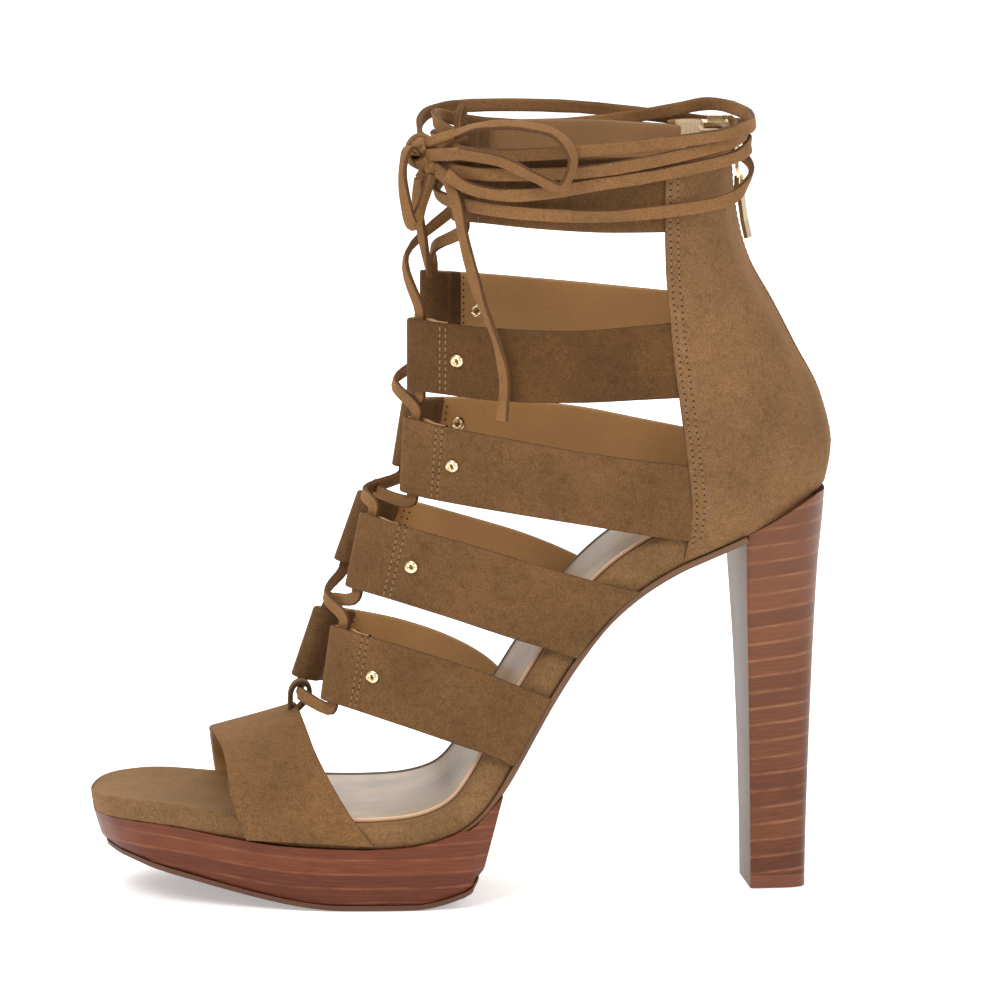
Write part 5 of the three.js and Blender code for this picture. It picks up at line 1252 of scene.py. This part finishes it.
heel = heel_body("heel_stack", LIFT_T + 0.08, 120.0, 60, [STACK_HEEL, BREAST_PAINTED_REFLECTION], True)
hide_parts("heel")
lift = heel_body("heel_top_piece", 0.0, LIFT_T, 3, [LIFT, BREAST_PAINTED_REFLECTION], False)
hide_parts("heel_lift")

# -------------------------------------------------------------------- rivets
RIVET_AT = 4 / 15
HEAD = [(0, 0.62), (0.42, 0.66), (0.62, 0.98), (0.85, 1.32), (1.2, 1.42), (1.6, 1.22), (1.95, 0.82), (2.12, 0.38), (2.1, 0.06), (0.6, 0.02), (0, 0.02)]
RING = [(0, -2.15), (0.55, -2.15), (0.62, -2.5), (0.95, -2.7), (1.6, -2.66), (2.05, -2.4), (2.15, -2.0), (2.1, -1.86), (0, -1.86)]
for name in ("s1_near", "s1_far", "s2_near", "s2_far", "strap_3_near", "strap_3_far", "strap_4_near", "strap_4_far"):
    tab = STRAPS[name]
    f = strap_frame(tab, RIVET_AT * tab.last)
    p = lerp(f["bot"], f["top"], 0.64 if name == "s2_far" else 0.5)
    nor = unit(f["nt"] + f["nb"])
    pile = Pile()
    hv, hf = lathe(HEAD, 28)
    pile.add(placed(hv, p, nor), hf, 0)
    rv, rf = lathe(RING, 28)
    pile.add(placed(rv, p, nor), rf, 0)
    dv, df = lathe([(0, 0.74), (0.58, 0.74), (0.6, 0.6), (0, 0.6)], 16)
    pile.add(placed(dv, p, nor), df, 1)
    dv, df = lathe([(0, -2.2), (0.5, -2.2), (0.5, -2.1), (0, -2.1)], 16)
    pile.add(placed(dv, p, nor), df, 1)
    ob = pile.build("stud_" + name, [BRASS, BRASS_DARK], sharp=35)
    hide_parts("rivet_" + name)

# ------------------------------------------------------------------ stitching
stitches = Pile()
holes = Pile()


def capsule(length, r):
    n, rows = 6, [(-0.5, 0.0), (-0.42, 0.62), (-0.2, 1.0), (0.2, 1.0), (0.42, 0.62), (0.5, 0.0)]
    return lathe([(r * k, t * length) for t, k in rows], n)


def stitch_line(points, normals, pitch=1.95, length=1.45, r=0.24, sunk=0.06, target=None):
    """Stitches along a line that lies on a face."""
    pile = stitches if target is None else target
    pts = np.asarray(points)
    seg = np.linalg.norm(np.diff(pts, axis=0), axis=1)
    cum = np.concatenate([[0], np.cumsum(seg)])
    n = int((cum[-1] - 1.0) / pitch)
    for i in range(n + 1):
        d = 0.6 + (cum[-1] - 1.2 - n * pitch) / 2 + i * pitch + rng.uniform(-0.05, 0.05)
        k = min(len(pts) - 2, max(0, int(np.searchsorted(cum, d)) - 1))
        t = (d - cum[k]) / max(1e-6, seg[k])
        p = lerp(pts[k], pts[k + 1], t)
        nor = unit(lerp(normals[k], normals[k + 1], t))
        along = unit(pts[k + 1] - pts[k])
        cv, cf = capsule(length, r)
        pile.add(placed(cv, p - nor * sunk, along, nor), cf)
        hv, hf = lathe([(0, 0.02), (0.34, 0.02), (0.38, -0.05)], 6)
        holes.add(placed(hv, p + along * (pitch / 2), nor), hf)


def hole_line(points, normals, pitch=1.95, r=0.30):
    pts = np.asarray(points)
    seg = np.linalg.norm(np.diff(pts, axis=0), axis=1)
    cum = np.concatenate([[0], np.cumsum(seg)])
    for i in range(int((cum[-1] - 1.0) / pitch) + 1):
        d = 0.7 + i * pitch
        k = min(len(pts) - 2, max(0, int(np.searchsorted(cum, d)) - 1))
        p = lerp(pts[k], pts[k + 1], (d - cum[k]) / max(1e-6, seg[k]))
        hv, hf = lathe([(0, 0.03), (r, 0.03), (r * 1.15, -0.05)], 8)
        holes.add(placed(hv, p, unit(normals[k])), hf)


for name, tab in STRAPS.items():
    rows = (0.98, 1.105) if not name.startswith("collar") else (0.9,)
    for u in rows:
        f = strap_frame(tab, u)
        pts, nor, ins, inn_n = [], [], [], []
        for s in spaced(0.03, 0.97, 12):
            nn = unit(lerp(f["nb"], f["nt"], s))
            pts.append(strap_point(f, s, 0.0))
            nor.append(nn)
            ins.append(strap_point(f, s, WALL))
            inn_n.append(-nn)
        stitch_line(pts, nor)
        hole_line(ins, inn_n)
for far in (False, True):
    for inset in (1.5, 3.8):
        pts, nor, ins = [], [], []
        for t in spaced(0.035, 0.985, 70):
            a = 0.004
            av = 1 - a if far else a
            v = lerp(low_at(av), COUNTER.last, t)
            # walk round from the front edge by the inset
            p0, _ = counter_grid(av, v)
            step = 0.0
            while step < inset and a < 0.3:
                a += 0.002
                av = 1 - a if far else a
                q, nq = counter_grid(av, v)
                step = float(np.linalg.norm(q - p0))
            pts.append(q)
            nor.append(nq)
            ins.append(q - nq * WALL)
        stitch_line(pts, nor, 1.9, 1.4)
    # along the zip
    pts, nor = [], []
    for v in spaced(ZIP_FOOT - 0.25, COUNTER.last - 0.05, 60):
        r = COUNTER.at(v)
        half = 4.6
        a = 0.5 - math.asin(min(1.0, (half / r["w"]) ** (r["n"] / 2))) / math.pi
        q, nq = counter_grid(1 - a if far else a, v)
        pts.append(q + nq * 0.02)
        nor.append(nq)
    stitch_line(pts, nor, 1.9, 1.4)
stitch_ob = stitches.build("stitching", [THREAD], sharp=None)
hole_ob = holes.build("needle_marks", [HOLE], sharp=None)

# ----------------------------------------------------------------------- zip
zipper = Pile()
# tape behind the slit, bent inwards at its upper end over the heel's back
tape_rows = []
for v in spaced(ZIP_FOOT - 0.1, COUNTER.last - 0.35, 44):
    p, n = counter_grid(0.5, v)
    tape_rows.append((p - n * 1.35, n, 2.6))
for x, z, h in ((67.1, 221.4, 1.3), (66.6, 224.0, 1.3), (64.9, 225.3, 1.6), (63.6, 225.5, 4.2), (58.6, 225.4, 4.5)):
    tape_rows.append((v3(x, 0.0, z), None, h))
line = np.array([r[0] for r in tape_rows])
tape_rings = []
for i, (p, n, h) in enumerate(tape_rows):
    t = unit(line[min(len(line) - 1, i + 1)] - line[max(0, i - 1)])
    nn = unit(np.cross(v3(0, 1, 0), t))
    tape_rings.append([p + v3(0, a * h, 0) + nn * b * 0.4 for a, b in LACE_RING])
tape = loft("zip_tape_woven", tape_rings, [TAPE], sharp=50)
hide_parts("zip_tape")
# the tape's end, turned aside and stitched to the lining of the far half
verts, faces, nu, nvv = [], [], 14, 12
for lay in (0, 1):
    for i in range(nu + 1):
        for j in range(nvv + 1):
            a = lerp(0.74, 0.93, i / nu)
            v = COUNTER.last - lerp(0.02, 0.80, j / nvv)
            p, n = counter_grid(a, v)
            edge = i in (0, nu) or j in (0, nvv)
            verts.append(p - n * (WALL + 0.75 + (0.25 if edge else 0.6) * lay))
step = (nu + 1) * (nvv + 1)
for i in range(nu):
    for j in range(nvv):
        a0 = i * (nvv + 1) + j
        q = (a0, a0 + nvv + 1, a0 + nvv + 2, a0 + 1)
        faces += [tuple(reversed(q)), tuple(k + step for k in q)]
ring = [(i, 0) for i in range(nu)] + [(nu, j) for j in range(nvv)] + [(i, nvv) for i in range(nu, 0, -1)] + [(0, j) for j in range(nvv, 0, -1)]
for k in range(len(ring)):
    (i0, j0), (i1, j1) = ring[k], ring[(k + 1) % len(ring)]
    a0, a1 = i0 * (nvv + 1) + j0, i1 * (nvv + 1) + j1
    faces.append((a0, a1, a1 + step, a0 + step))
patch = make("tape_end_patch", verts, faces, [TAPE], None, None, 60)
tooth_v = [(-0.42, -1.05, -0.5), (0.42, -1.05, -0.5), (0.42, 0.35, -0.5), (-0.42, 0.35, -0.5),
           (-0.36, -1.0, 0.42), (0.36, -1.0, 0.42), (0.36, 0.2, 0.42), (-0.36, 0.2, 0.42)]
tooth_f = [(0, 3, 2, 1), (4, 5, 6, 7), (0, 1, 5, 4), (1, 2, 6, 5), (2, 3, 7, 6), (3, 0, 4, 7)]
dist, k, side = 0.0, 0, 1
samples = [counter_grid(0.5, v) for v in spaced(ZIP_FOOT + 0.05, COUNTER.last - 0.2, 900)]
last = samples[0][0]
for p, n in samples[1:]:
    dist += float(np.linalg.norm(p - last))
    t = unit(p - last)
    last = p
    if dist >= 0.62:
        dist = 0.0
        side = -side
        vv = np.array(tooth_v) * v3(0.62, side, 1)
        m = np.array([t, v3(0, 1, 0), n])
        zipper.add(p - n * 0.55 + vv @ m, tooth_f)
teeth = zipper.build("zip_teeth", [BRASS], sharp=30)

# ------------------------------------------- hard pieces kept from the frame
for node in ("zip_slider", "zip_pull"):
    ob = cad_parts[node]
    ob.data.materials.clear()
    ob.data.materials.append(BRASS)
    for poly in ob.data.polygons:
        poly.use_smooth = True
    ob.data.set_sharp_from_angle(angle=math.radians(32))
    bev = ob.modifiers.new("edge", "BEVEL")
    bev.width = 0.00018
    bev.segments = 2
    bev.limit_method = "ANGLE"
    bev.angle_limit = math.radians(32)
    bev.harden_normals = False

# --------------------------------------------------------- floor and lights
world = bpy.data.worlds.new("studio")
bpy.context.scene.world = world
world.use_nodes = True
world.node_tree.nodes["Background"].inputs[0].default_value = (1.0, 1.0, 1.0, 1.0)
world.node_tree.nodes["Background"].inputs[1].default_value = 0.62


def sheet_mesh(name, pts, faces, mat):
    me = bpy.data.meshes.new(name)
    me.from_pydata(pts, [], faces)
    me.materials.append(mat)
    for p in me.polygons:
        p.use_smooth = True
    ob = bpy.data.objects.new(name, me)
    bpy.context.scene.collection.objects.link(ob)
    return ob


paper = Mat("paper", Roughness=0.9)
paper.b.inputs["Specular IOR Level"].default_value = 0.0
paper.set("Base Color", paper.ramp(paper.noise(3.0, 1.0), [(0.0, (0.93, 0.93, 0.93, 1)), (1.0, (0.95, 0.95, 0.95, 1))]))
pts, faces, n = [], [], 16
prof = [(-4.0, 0.0), (0.0, 0.0), (4.0, 0.0)]
for y, z in prof:
    pts += [(-4.0, y, z - 0.0002), (4.0, y, z - 0.0002)]
for i in range(len(prof) - 1):
    faces.append((2 * i, 2 * i + 1, 2 * i + 3, 2 * i + 2))
paper.b.inputs["Emission Color"].default_value = (1.0, 1.0, 1.0, 1.0)
paper.b.inputs["Emission Strength"].default_value = 0.35
sheet_mesh("paper_floor", pts, faces, paper.m)


def area(name, at, size, power, aim=(0, 0, 0.11), colour=(1, 1, 1)):
    data = bpy.data.lights.new(name, "AREA")
    data.shape = "RECTANGLE"
    data.size, data.size_y = size
    data.energy = power
    data.color = colour
    ob = bpy.data.objects.new(name, data)
    bpy.context.scene.collection.objects.link(ob)
    ob.location = at
    ob.rotation_euler = (Vector(aim) - Vector(at)).to_track_quat("-Z", "Y").to_euler()
    return ob


area("key", (-0.9, -1.3, 1.5), (1.1, 0.9), 26.0)
area("fill", (1.3, -1.2, 0.9), (1.2, 1.0), 9.0)
area("top", (0.0, 0.1, 1.7), (1.4, 1.4), 14.0)
area("back", (0.2, 1.3, 0.9), (1.6, 0.8), 10.0)
bpy.context.scene.view_settings.view_transform = "Standard"
bpy.context.scene.view_settings.look = "None"
